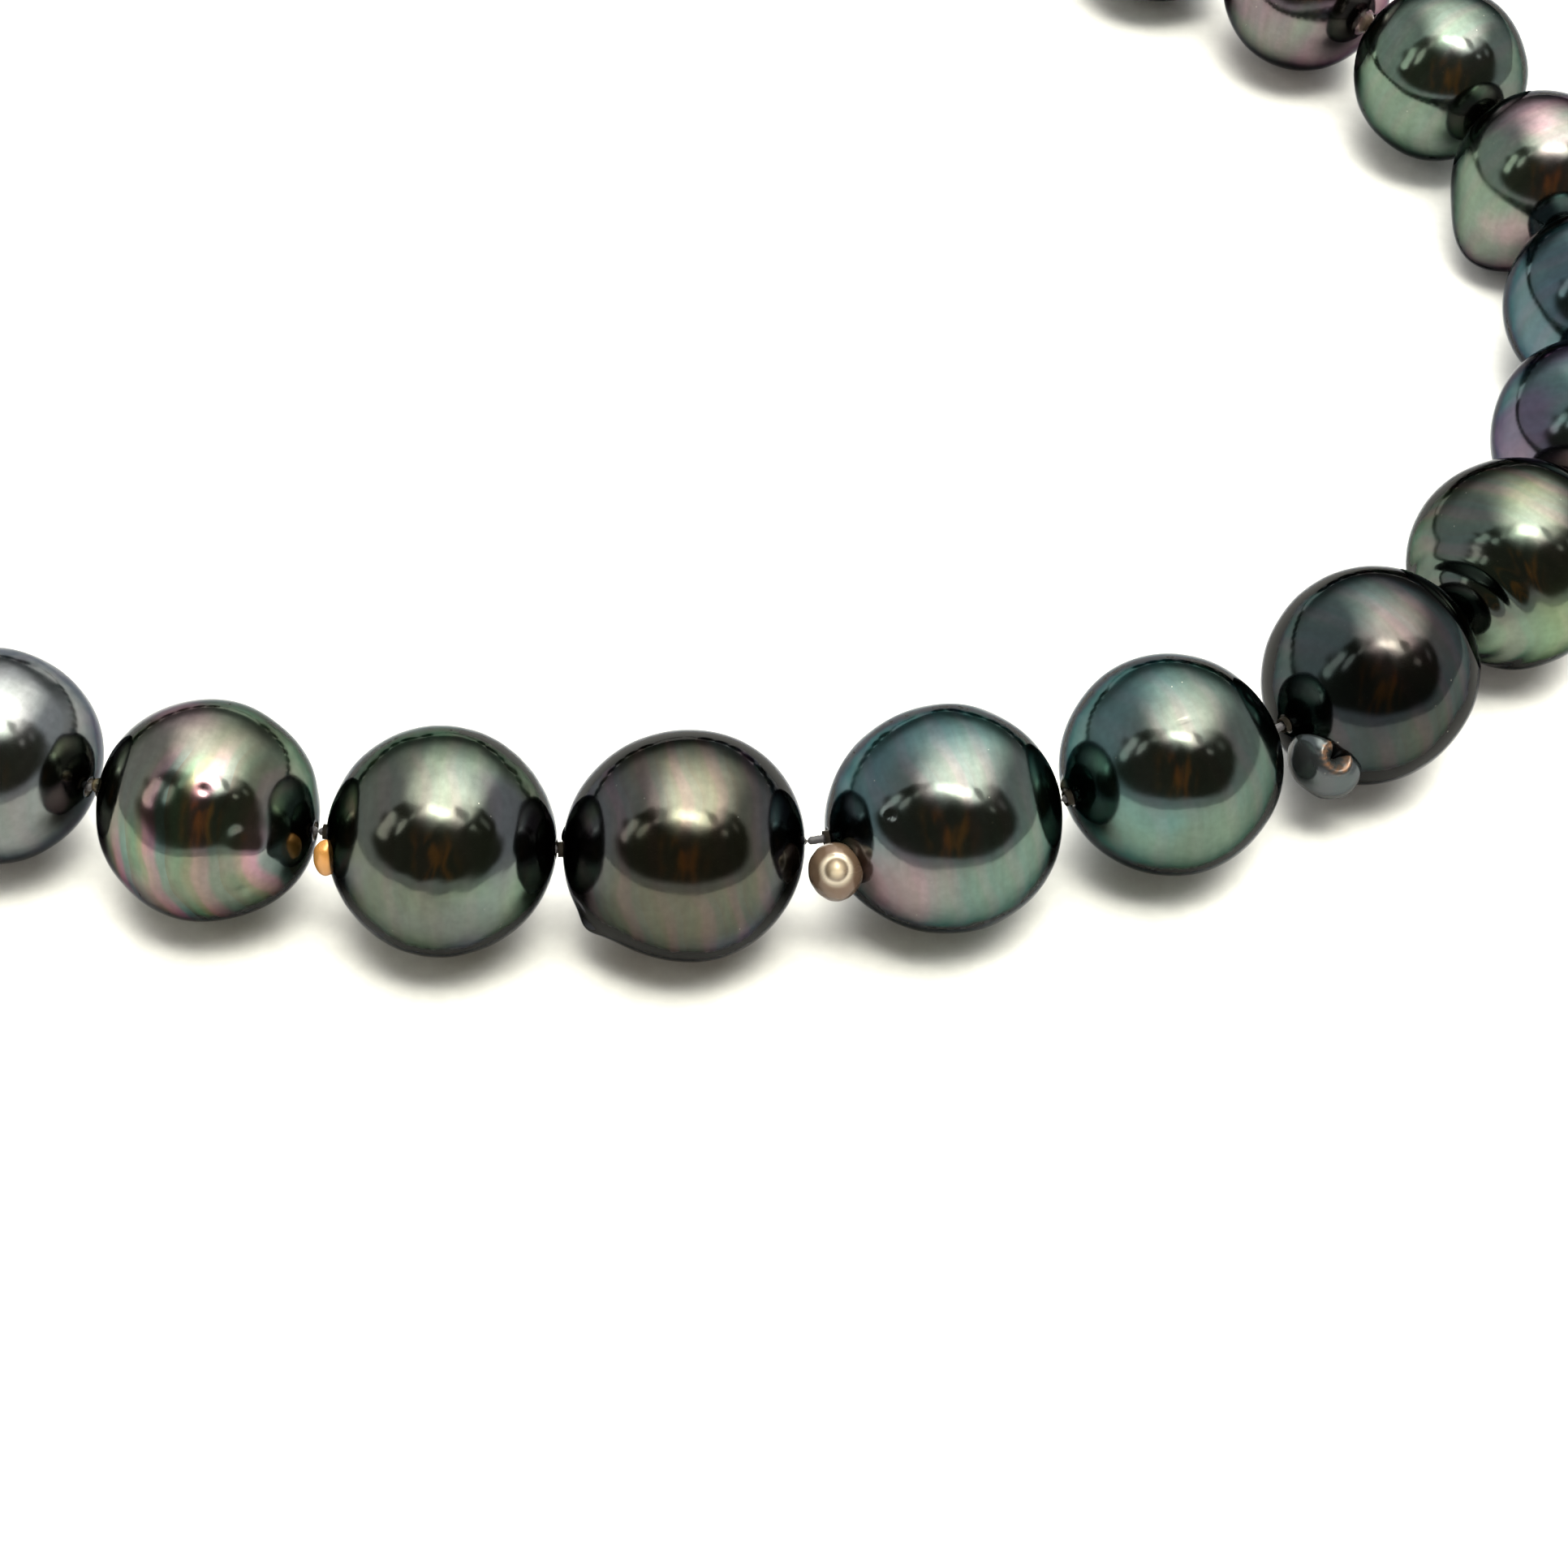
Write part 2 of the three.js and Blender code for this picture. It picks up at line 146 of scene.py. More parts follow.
class Graph:
    """Short calls that add nodes to a tree."""

    def __init__(self, tree):
        self.tree = tree
        tree.nodes.clear()

    def add(self, kind, inputs=None, **settings):
        node = self.tree.nodes.new(kind)
        for name, value in settings.items():
            setattr(node, name, value)
        for name, value in (inputs or {}).items():
            self.feed(node.inputs[name], value)
        return node

    def feed(self, socket, value):
        if isinstance(value, bpy.types.NodeSocket):
            self.tree.links.new(value, socket)
        elif socket.type == "RGBA" and len(value) == 3:
            socket.default_value = (*value, 1.0)
        else:
            socket.default_value = value

    def math(self, operation, first, second=0.0, third=0.0):
        node = self.add("ShaderNodeMath", operation=operation)
        for socket, value in zip(node.inputs, (first, second, third)):
            self.feed(socket, value)
        return node.outputs[0]

    def vector(self, operation, first, second=(0.0, 0.0, 0.0), scale=1.0):
        node = self.add("ShaderNodeVectorMath", operation=operation)
        self.feed(node.inputs[0], first)
        if operation == "SCALE":
            self.feed(node.inputs["Scale"], scale)
        else:
            self.feed(node.inputs[1], second)
        return node.outputs["Value" if operation == "DOT_PRODUCT" else "Vector"]

    def along(self, place, direction):
        """How far a place, or a direction, reaches along one direction."""
        return self.vector("DOT_PRODUCT", place, tuple(float(part) for part in direction))

    def times(self, first, second):
        return self.math("MULTIPLY", first, second)

    def own_place(self):
        """The place on the piece, in metres in its own frame."""
        return self.add("ShaderNodeTexCoord").outputs["Object"]

    def bump(self, height, strength, distance):
        inputs = {"Strength": strength, "Distance": distance, "Height": height}
        return self.add("ShaderNodeBump", inputs).outputs["Normal"]

    def surface(self, inputs):
        """The finished surface, from the inputs of its shader."""
        shader = self.add("ShaderNodeBsdfPrincipled", inputs)
        self.add("ShaderNodeOutputMaterial", {"Surface": shader.outputs[0]})

    def noise(self, place, scale, detail, colour=False):
        node = self.add("ShaderNodeTexNoise", {"Vector": place, "Scale": scale, "Detail": detail})
        return node.outputs["Color" if colour else "Fac"]

    def mix(self, amount, first, second):
        """The first colour where amount is 0, the second where it is 1."""
        node = self.add("ShaderNodeMix", data_type="RGBA")
        for place, value in zip(MIX_INPUTS, (amount, first, second)):
            self.feed(node.inputs[place], value)
        return node.outputs[MIX_COLOUR]

    def spread(self, value, low, high, to_low=0.0, to_high=1.0):
        """value from low..high to to_low..to_high, eased and clamped."""
        inputs = {"Value": value, "From Min": low, "From Max": high, "To Min": to_low, "To Max": to_high}
        node = self.add("ShaderNodeMapRange", inputs, interpolation_type="SMOOTHSTEP")
        return node.outputs["Result"]

    def within(self, angle, degrees):
        """Grows from 0 at the first of two angles in degrees to 1 at the second."""
        return self.spread(angle, *(math.radians(edge) for edge in degrees))

    def ramp(self, value, stops):
        """Colours at places from 0 to 1."""
        node = self.add("ShaderNodeValToRGB", {"Fac": value})
        ramp = node.color_ramp
        ramp.interpolation = "EASE"
        while len(ramp.elements) < len(stops):
            ramp.elements.new(0.5)
        for element, (place, colour) in zip(ramp.elements, stops):
            element.position = place
            element.color = (*colour, 1.0)
        return node.outputs["Color"]


def new_material(name):
    material = bpy.data.materials.new(name)
    material.use_nodes = True
    return material, Graph(material.node_tree)


# ---- Pearls ----
#
# The rows run from the left end of the strand round the front to the right end. A turn
# and a tilt are a direction in degrees in the pearl's own frame: +X along the drill axis
# to the next pearl, +Y into the oval, +Z up. Heights, depths, distances and radii are
# fractions of the pearl's radius. Spreads and reaches are in degrees.
#
# width       across the drill axis, in millimetres
# lead        extra room for a nub at the end that faces the previous pearl, in millimetres
# longer      how far the leading half is drawn out along the drill axis, in millimetres
# lobes       broad swellings, or flats where negative: (turn, tilt, height, spread)
# rings       growth grooves round the drill axis: (angle from the leading end, depth, spread)
# nubs        small balls that grow out of the skin: (turn, tilt, distance, radius)
# knobs       nubs that stand clear of the skin: (turn, tilt, distance, radius, look)
# pits        small hollows, or bumps where negative: (turn, tilt, depth, spread)
# scratches   short grooves: (turn, tilt, depth, length, width, slant)
# uneven      how far the skin wavers
# body        colour of the nacre
# overtone    a colour that drifts across it, and then the other one
# zones       patches of another colour: (turn, tilt, reach, colour, amount); those near
#             turn -105, tilt 62 are painted highlight tints under the lamp's highlight in the view
# bands       how strongly thin rainbows run round the pearl, 0 to 1
# band_way    where they are strongest: (turn, tilt, reach)
# band_axis   the axis that they run round
# band_pitch  how many there are to one radius

FRONT = 13
GREEN = 0x526355
PINK = 0x7B6169
BLUE = 0x3F525B
BRONZE = 0x554B3B
SLATE = 0x47474F
SILVER = 0x6E7072
OLIVE = 0x4D5038
TEAL = 0x3F5B58


def pearl(width, body, overtone, other_overtone, **details):
    """One row of the table."""
    return {"width": width, "body": body, "overtones": (overtone, other_overtone), **details}


PEARLS = [
    pearl(12.2, 0x41463C, GREEN, PINK, lobes=[(20, 40, 0.03, 40)]),
    pearl(12.4, 0x3B4340, GREEN, SLATE),
    pearl(12.5, 0x43413D, BRONZE, GREEN, lobes=[(40, -20, 0.03, 40)]),
    pearl(12.7, 0x333E40, BLUE, GREEN),
    pearl(12.8, 0x444D3E, OLIVE, GREEN, lead=0.3, nubs=[(172, 6, 0.94, 0.12)]),
    pearl(12.9, 0x403E42, SLATE, GREEN, rings=[(38, 0.025, 6)]),
    pearl(13.0, 0x384540, GREEN, TEAL),
    pearl(13.1, 0x4A4E47, SILVER, GREEN, lobes=[(150, -30, 0.04, 35)]),
    pearl(13.2, 0x323735, BRONZE, SLATE, lead=0.4, nubs=[(184, -8, 0.95, 0.14)]),
    pearl(13.2, 0x40484E, BLUE, SILVER),
    pearl(13.3, 0x3B4439, GREEN, OLIVE, rings=[(146, 0.02, 7)]),
    pearl(13.5, 0x535756, SILVER, SLATE),
    pearl(
        13.8, 0x4A4D41, GREEN, PINK,
        lead=0.4, nubs=[(189, 15, 0.98, 0.07)], lobes=[(-28, -4, 0.035, 26)],
        pits=[(-65, 61, 0.008, 2.6), (-49, 34, 0.02, 5), (-54, 1, 0.015, 4), (-40, 20, -0.02, 7)],
        # The zone at turn -108, tilt 68 sits under the lamp's highlight in the view: a painted highlight
        # tint.
        uneven=2.6, zones=[(-108, 68, 46, 0x50514A, 0.75)], bands=1.0, band_way=(-60, 15, 85),
        band_axis=(0.95, -0.15, 0.25), band_pitch=2.6,
    ),
    pearl(
        14.2, 0x41473D, GREEN, SLATE,
        # The zone at turn -105, tilt 62 sits under the lamp's highlight in the view: a painted highlight
        # tint.
        lead=0.35, knobs=[(198, 2, 0.99, 0.145, "amber")], zones=[(-105, 62, 44, 0x484944, 0.75)],
        bands=0.05,
    ),
    pearl(
        14.3, 0x31322B, 0x3D382D, SLATE,
        lead=0.55, longer=0.45, nubs=[(175, 4, 0.9, 0.12)], lobes=[(206, -21, 0.05, 22)],
        pits=[(212, -24, -0.05, 7), (208, -12, 0.02, 6)],
        zones=[
            # The zone at turn -90, tilt 60 sits under the lamp's highlight in the view: a painted
            # highlight tint.
            (-90, 60, 60, 0x434138, 0.7), (180, 20, 50, 0x3D3C42, 0.8),
            (0, 20, 50, 0x38373C, 0.8),
        ],
        bands=0.08,
    ),
    pearl(
        14.2, 0x404C48, TEAL, GREEN,
        lead=1.7, longer=0.7, knobs=[(199, 1, 1.16, 0.24, "cream")], lobes=[(208, -1, -0.04, 24)],
        pits=[(214, 44, 0.01, 2.2)],
        zones=[
            (-128, 12, 36, 0x67565A, 0.8), (-70, 4, 55, 0x465750, 0.85),
            # The zone at turn -105, tilt 60 sits under the lamp's highlight in the view: a painted
            # highlight tint.
            (180, 60, 60, 0x3A5155, 0.9), (-105, 60, 44, 0x454744, 0.9),
        ],
        bands=0.08,
    ),
    pearl(
        14.0, 0x3D4A42, TEAL, GREEN,
        lead=0.4, nubs=[(174, 2, 0.95, 0.1)], lobes=[(-114, 73, 0.015, 30)],
        pits=[(-10, 50, 0.012, 3), (-5, 42, 0.015, 3)], scratches=[(-114, 73, 0.014, 4.2, 1.0, 25)],
        zones=[
            (170, 50, 70, 0x3C5152, 0.9), (0, 40, 60, 0x42514C, 0.8),
            # The zone at turn -105, tilt 60 sits under the lamp's highlight in the view: a painted
            # highlight tint.
            (-105, 60, 44, 0x454742, 0.9),
        ],
        bands=0.06,
    ),
    pearl(
        14.1, 0x191E1E, 0x24292B, 0x1F2727,
        lead=1.2, knobs=[(205, -12, 1.0, 0.31, "grey")],
        lobes=[(189, -16, 0.06, 40), (-55, -35, -0.07, 42), (160, 38, -0.05, 38)],
        zones=[
            (140, 60, 42, 0x384342, 0.85), (170, 35, 35, 0x2F393A, 0.85),
            # The lighter zone at turn -112, tilt 66 sits under the lamp's highlight in the view: a
            # painted highlight.
            (-60, 40, 35, 0x2B3131, 0.8), (-112, 66, 34, 0x36302F, 0.8),
            (-100, 8, 30, 0x2F322B, 0.5),
        ],
        bands=0.05,
    ),
    pearl(
        13.9, 0x3B3D35, GREEN, OLIVE,
        lead=0.2, lobes=[(175, 0, 0.03, 30)], rings=[(30, 0.03, 6), (44, 0.02, 6)],
        zones=[
            # The zone at turn -105, tilt 60 sits under the lamp's highlight in the view: a painted
            # highlight tint.
            (-100, 5, 50, 0x56694F, 0.8), (-105, 60, 40, 0x4C4E47, 0.7),
            (170, 40, 50, 0x3E4C48, 0.7),
        ],
        bands=0.1,
    ),
    pearl(13.5, 0x45414F, TEAL, PINK),
    pearl(13.1, 0x36474C, BLUE, TEAL),
    pearl(12.8, 0x524B4D, GREEN, PINK, lead=0.1, lobes=[(103, -42, 0.2, 26)]),
    pearl(12.9, 0x454E48, GREEN, SILVER),
    pearl(12.9, 0x564D50, PINK, GREEN, lead=0.4, nubs=[(168, 6, 0.96, 0.14)]),
    pearl(12.6, 0x3B4443, TEAL, SLATE, lobes=[(60, 10, 0.03, 40)]),
    pearl(12.4, 0x3F4147, SLATE, PINK),
    pearl(12.2, 0x38413F, GREEN, BLUE, lobes=[(160, 30, 0.03, 40)]),
]
COUNT = len(PEARLS)

# Points round and along the skin of the pearls near the view, and of the others.
NEAR_PEARLS = range(10, 20)
NEAR_GRID = (256, 160)
FAR_GRID = (112, 72)
KNOB_GRID = (64, 48)

# Waves of the skin: how many, how close together, and how high in radii.
SKIN_WAVES = ((7, 2.6, 0.0016), (5, 7.0, 0.00035))
USUAL_WAVER = 2.0
KNOB_WAVER = 9.0

# The drill hole inside the skin: how deep each ring lies in millimetres, and its size.
BORE_RINGS = ((0.1, 1.0), (0.4, 0.96))
BORE_EDGE = 1.3
BORE_TINT = 0x6A6258
NUB_TINT = 0x5A4A34
NUB_COVER = 0.6


def angles_round(count):
    """Even steps of one full turn."""
    return np.arange(count) * math.tau / count


def way(turn, tilt):
    """The unit direction of a turn and tilt."""
    turn = math.radians(turn)
    tilt = math.radians(tilt)
    return np.array((math.cos(turn) * math.cos(tilt), math.sin(turn) * math.cos(tilt), math.sin(tilt)))


def unit_vector(vector):
    return vector / np.linalg.norm(vector)


def angle_to(dirs, direction):
    """The angle in degrees from each of dirs to one direction."""
    return np.degrees(np.arccos(np.clip(dirs @ direction, -1.0, 1.0)))


def bell(angle, spread):
    """1 at angle 0, and falling away smoothly over the spread."""
    return np.exp(-((angle / spread) ** 2))


def smooth_max(first, second, width):
    """The larger of the two, with the crease between them filled over a width."""
    overlap = np.maximum(width - np.abs(first - second), 0.0) / width
    return np.maximum(first, second) + overlap * overlap * width * 0.25


def waver(dirs, seed, amount):
    """Slow random waves over the skin."""
    random = np.random.default_rng(seed)
    total = np.zeros(len(dirs))
    for count, closeness, height in SKIN_WAVES:
        for _ in range(count):
            wave = random.normal(size=3) * closeness
            total += amount * height * np.sin(dirs @ wave + random.uniform(0.0, math.tau))
    return total


def skin_reach(row, dirs, seed):
    """How far the skin stands from the pearl's centre in each direction, in radii."""
    reach = 1.0 + waver(dirs, seed, row.get("uneven", USUAL_WAVER))
    for turn, tilt, height, spread in row.get("lobes", ()):
        reach += height * bell(angle_to(dirs, way(turn, tilt)), spread)
    from_lead = angle_to(dirs, np.array((-1.0, 0.0, 0.0)))
    for angle, depth, spread in row.get("rings", ()):
        reach -= depth * bell(from_lead - angle, spread)
    for turn, tilt, depth, spread in row.get("pits", ()):
        reach -= depth * bell(angle_to(dirs, way(turn, tilt)), spread)
    for turn, tilt, depth, length, width, slant in row.get("scratches", ()):
        middle = way(turn, tilt)
        side = unit_vector(np.cross((0.0, 0.0, 1.0), middle))
        rise = np.cross(middle, side)
        slant = math.radians(slant)
        along = np.degrees(dirs @ (side * math.cos(slant) + rise * math.sin(slant)))
        across = np.degrees(dirs @ (rise * math.cos(slant) - side * math.sin(slant)))
        facing = dirs @ middle > 0.0
        reach -= facing * depth * bell(along, length) * bell(across, width)
    return reach


def nub_reach(dirs, turn, tilt, distance, size):
    """The far side of a small ball in each direction, or 0 where it is missed."""
    along = dirs @ way(turn, tilt) * distance
    inside = along ** 2 - distance ** 2 + size ** 2
    hit = (inside > 0.0) & (along > 0.0)
    return np.where(hit, along + np.sqrt(np.maximum(inside, 0.0)), 0.0)


def grid_faces(rows, columns, closed=False):
    """Quads between rows that are each a ring. Closed also joins the last row to the first."""
    faces = []
    for i in range(rows if closed else rows - 1):
        here = i * columns
        beyond = (i + 1) % rows * columns
        for j in range(columns):
            k = (j + 1) % columns
            faces.append((here + j, here + k, beyond + k, beyond + j))
    return faces


def end_faces(rows, columns):
    """The first ring and the last one, each as one face."""
    last = (rows - 1) * columns
    return [tuple(range(columns))[::-1], tuple(range(last, last + columns))]


def joined_parts(parts):
    """Points and faces of several parts as one list of each."""
    points, faces = [], []
    offset = 0
    for part_points, part_faces in parts:
        points.append(np.asarray(part_points))
        faces += [tuple(k + offset for k in face) for face in part_faces]
        offset += len(part_points)
    return np.concatenate(points), faces


def ball_directions(polar, turns):
    """Unit directions by angle from a pole and turn round it, as parts along it and across."""
    p, t = np.meshgrid(polar, turns, indexing="ij")
    return np.cos(p).ravel(), (np.sin(p) * np.cos(t)).ravel(), (np.sin(p) * np.sin(t)).ravel()


def pearl_skin(row, seed, around, along):
    """Points in millimetres in the pearl's frame, faces, and a tint for each point."""
    radius = row["width"] / 2
    edge = math.asin(DRILL_RADIUS * BORE_EDGE / radius)
    turns = angles_round(around)
    pole, across, rise = ball_directions(np.linspace(edge, math.pi - edge, along), turns)
    dirs = np.stack((-pole, across, rise), axis=-1)
    reach = skin_reach(row, dirs, seed)
    nub = np.zeros(len(dirs))
    for nub_turn, tilt, distance, size in row.get("nubs", ()):
        far = nub_reach(dirs, nub_turn, tilt, distance, size)
        nub = np.maximum(nub, np.clip((far - reach) / (0.4 * size), 0.0, 1.0))
        reach = smooth_max(reach, far, 0.35 * size)
    points = dirs * (reach * radius)[:, None]
    leading = 1.0 + row.get("longer", 0.0) / radius
    points[:, 0] *= np.where(points[:, 0] < 0.0, leading, 1.0)
    rows = [points.reshape(along, around, 3)]
    ring = np.stack((np.zeros(around), np.cos(turns), np.sin(turns)), axis=-1)
    for inset, bore in BORE_RINGS:
        start = rows[0][0, :, 0].mean() + inset
        end = rows[0][-1, :, 0].mean() - inset
        rows.insert(0, (ring * DRILL_RADIUS * bore + (start, 0.0, 0.0))[None])
        rows.append((ring * DRILL_RADIUS * bore + (end, 0.0, 0.0))[None])
    stacked = np.concatenate(rows).reshape(-1, 3)
    faces = grid_faces(len(stacked) // around, around, closed=True)
    tint = np.empty((len(stacked), 4))
    tint[:] = (*linear(BORE_TINT), 1.0)
    skin = slice(len(BORE_RINGS) * around, -len(BORE_RINGS) * around)
    tint[skin, :3] = linear(NUB_TINT)
    tint[skin, 3] = nub * NUB_COVER
    return stacked, faces, tint


# An eye is a hollow, coloured near black inside as painted shade, or a pale tip on a knob, on
# the side of the view, with a rim round it. aside moves it along the drill axis, and ragged is
# how far its rim wanders. step and rim are (angle from the eye's middle, spread, and the step's
# height or the rim's colour).
KNOB_LOOKS = {
    "amber": {"colour": 0xB98242, "cover": 0.9, "stretch": (0.85, 0.85, 1.3)},
    "cream": {
        "colour": 0x5C4836, "cover": 0.85, "stretch": (1.0, 1.0, 1.12),
        "eye": {
            "colour": 0xC4B59A, "spread": 14, "height": 0.26, "step": (27, 6, -0.07),
            "rim": (29, 6, 0xCFC5B2), "ragged": 0.0, "aside": 0.0,
        },
    },
    "grey": {
        "colour": 0x565D5F, "cover": 0.35, "stretch": (1.0, 1.15, 1.12),
        # The hollow's near black is painted shade; the rust round it is the knob's own colour.
        "eye": {
            "colour": 0x14100D, "spread": 16, "height": -0.55, "step": (24, 5, 0.05),
            "rim": (22, 4.5, 0x7A4F28), "ragged": 2.5, "aside": 0.25,
        },
    },
}
EYE_SPREAD = 17
EYE_COVER = 0.95
RIM_STRENGTH = 0.8
RAGGED_WAVES = (23.0, 17.0, 29.0)


def tint_and_shade(tint, colour, amount):
    """Mixes an eye's colour into the tints, by an amount for each point. On the grey knob the hollow's
    near black is painted shade.
    """
    tint += ((*linear(colour), EYE_COVER) - tint) * amount[:, None]


def knob_skin(row, knob, to_view, seed):
    """A nub that stands clear of the skin, with its own small eye towards one side."""
    turn, tilt, distance, size, look = knob
    look = KNOB_LOOKS[look]
    radius = row["width"] / 2
    around, along = KNOB_GRID
    pole, across, rise = ball_directions(np.linspace(math.pi - 0.03, 0.03, along), angles_round(around))
    dirs = np.stack((across, rise, pole), axis=-1)
    reach = 1.0 + waver(dirs, seed + 50, KNOB_WAVER)
    tint = np.empty((len(dirs), 4))
    tint[:] = (*linear(look["colour"]), look["cover"])
    eye = look.get("eye")
    if eye:
        from_eye = angle_to(dirs, unit_vector(to_view + (eye["aside"], 0.0, 0.0)))
        step_at, step_spread, step_height = eye["step"]
        step = step_height * bell(from_eye - step_at, step_spread)
        reach += eye["height"] * bell(from_eye, EYE_SPREAD) + step
        ragged = from_eye + eye["ragged"] * np.sin(dirs @ RAGGED_WAVES)
        rim_at, rim_spread, rim_colour = eye["rim"]
        tint_and_shade(tint, rim_colour, RIM_STRENGTH * bell(ragged - rim_at, rim_spread))
        # The eye's own colour: a pale tip on the cream knob, painted shade in the grey knob's hollow.
        tint_and_shade(tint, eye["colour"], bell(from_eye, eye["spread"]))
    points = dirs * (reach * size * radius)[:, None] * look["stretch"]
    points = points + way(turn, tilt) * distance * radius
    return points, grid_faces(along, around) + end_faces(along, around), tint


def mesh_object(name, points, faces, matrix=None, tint=None):
    """A smooth mesh of points in millimetres in its own frame."""
    mesh = bpy.data.meshes.new(name)
    mesh.from_pydata((np.asarray(points) * MM).tolist(), [], faces)
    mesh.polygons.foreach_set("use_smooth", [True] * len(mesh.polygons))
    if tint is not None:
        layer = mesh.color_attributes.new("tint", "FLOAT_COLOR", "POINT")
        layer.data.foreach_set("color", np.asarray(tint, dtype=np.float32).ravel())
    mesh.validate()
    made = bpy.data.objects.new(name, mesh)
    SCENE.collection.objects.link(made)
    if matrix is not None:
        made.matrix_world = matrix
    return made


def settle(made, material, node, body=None):
    """Gives a piece its material, hides the CAD part of the node it stands for, and hangs it on a body.
    """
    made.data.materials.clear()
    made.data.materials.append(material)
    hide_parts(node)
    if body:
        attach(made, body)


def frame_along(x_axis, origin):
    """A frame with +X along x_axis and +Y level. The origin is in metres."""
    x = x_axis.normalized()
    y = Vector((0.0, 0.0, 1.0)).cross(x).normalized()
    z = x.cross(y)
    turn = Matrix((x, y, z)).transposed().to_4x4()
    return Matrix.Translation(origin) @ turn


def box_middle(node):
    """The middle of a node's box, in metres."""
    low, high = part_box(node)
    return (Vector(low) + Vector(high)) / 2


JOINT_AT = {joint["name"]: Vector(joint["pos_m"]) for joint in frame["joints"]}


def pearl_name(i):
    return f"pearl_{i + 1:02d}"


def pearl_body(i):
    return "front_pearl" if i == FRONT else pearl_name(i)


def strand_pivots():
    """The places between the pearls, and one beyond each end pearl on its way to the knot."""
    inner = [JOINT_AT[f"strand_{i:02d}_{i + 1:02d}"] for i in range(1, COUNT)]
    short = (KNOT_FROM_PEARL - PEARL_GAP / 2) * MM
    ends = []
    for knot, pivot in ((LEFT_KNOT, inner[0]), (RIGHT_KNOT, inner[-1])):
        ends.append(knot - (knot - pivot).normalized() * short)
    return [ends[0], *inner, ends[1]]


PIVOTS = strand_pivots()


def pearl_frame(i):
    """The pearl's own frame, from its centre."""
    row = PEARLS[i]
    along = (PIVOTS[i + 1] - PIVOTS[i]).normalized()
    to_centre = PEARL_GAP / 2 + row.get("lead", 0.0) + row["width"] / 2
    return frame_along(along, PIVOTS[i] + along * to_centre * MM)


# The colours across one band, from edge to edge.
RAINBOW = (
    (0.0, 0x4A4D43),
    (0.22, 0x4C6450),
    (0.4, 0x65634B),
    (0.52, 0x8A6468),
    (0.72, 0x7C5A68),
    (0.86, 0x4B5F5C),
)
USUAL_BANDS = 0.06
USUAL_BAND_AXIS = (1.0, 0.1, 0.12)
USUAL_BAND_PITCH = 3.4
# Pale specks on the nacre: painted glints.
GLINT_SPECK = 0xA8A69A
SHADE_RANGE = (0.93, 1.06)


def overtones_and_highlight_tints(g, row, unit, warped):
    """The body colour with its two overtones and its zones; the zones under the lamp's highlight in the
    view are painted highlight tints.
    """
    first, second = (linear(colour) for colour in row["overtones"])
    amount = g.spread(g.noise(warped, 0.8, 1.0), 0.42, 0.66, 0.0, 0.8)
    colour = g.mix(amount, linear(row["body"]), first)
    other = g.noise(g.vector("ADD", warped, (7.0, 3.0, 5.0)), 1.1, 1.0)
    colour = g.mix(g.spread(other, 0.48, 0.72, 0.0, 0.6), colour, second)
    # Each zone is a patch of nacre colour; those under the lamp's highlight in the view are painted
    # highlight tints.
    for turn, tilt, reach, tone, amount in row.get("zones", ()):
        toward = g.along(unit, way(turn, tilt))
        inside = g.spread(toward, math.cos(math.radians(reach)), 1.0, 0.0, amount)
        colour = g.mix(inside, colour, linear(tone))
    return colour


def banded(g, row, unit, place, warped, colour):
    """The colour with thin rainbows that run round an axis close to the drill's."""
    axis = Vector(row.get("band_axis", USUAL_BAND_AXIS)).normalized()
    waved = g.math("MULTIPLY_ADD", g.noise(place, 1.3, 1.0), 0.35, g.along(unit, axis))
    stripe = g.math("FRACT", g.times(waved, row.get("band_pitch", USUAL_BAND_PITCH)))
    rainbow = g.ramp(stripe, [(stop, linear(tone)) for stop, tone in RAINBOW])
    amount = row.get("bands", USUAL_BANDS)
    strength = g.spread(g.noise(warped, 1.0, 1.0), 0.3, 0.55, 0.25 * amount, amount)
    if "band_way" in row:
        turn, tilt, reach = row["band_way"]
        inside = g.spread(g.along(unit, way(turn, tilt)), math.cos(math.radians(reach)), 0.8)
        strength = g.times(strength, inside)
    return g.mix(strength, colour, rainbow)


def streaks_mottle_and_glints(g, place, colour):
    """The colour with fine streaks, a mottle and a few pale specks, which are painted glints."""
    fine = g.vector("MULTIPLY", place, (7.0, 1.2, 1.2))
    streak = g.spread(g.noise(fine, 1.6, 3.0), 0.35, 0.7, *SHADE_RANGE)
    mottle = g.spread(g.noise(place, 14.0, 4.0), 0.3, 0.7, *SHADE_RANGE)
    colour = g.vector("SCALE", colour, scale=g.times(streak, mottle))
    # A few pale specks: painted glints that sparkle on the nacre.
    dots = g.add("ShaderNodeTexVoronoi", {"Vector": place, "Scale": 9.0})
    lot = g.add("ShaderNodeSeparateColor", {"Color": dots.outputs["Color"]})
    chosen = g.math("GREATER_THAN", lot.outputs["Red"], 0.8)
    speck = g.times(g.spread(dots.outputs["Distance"], 0.075, 0.03), chosen)
    return g.mix(g.times(speck, 0.5), colour, linear(GLINT_SPECK))


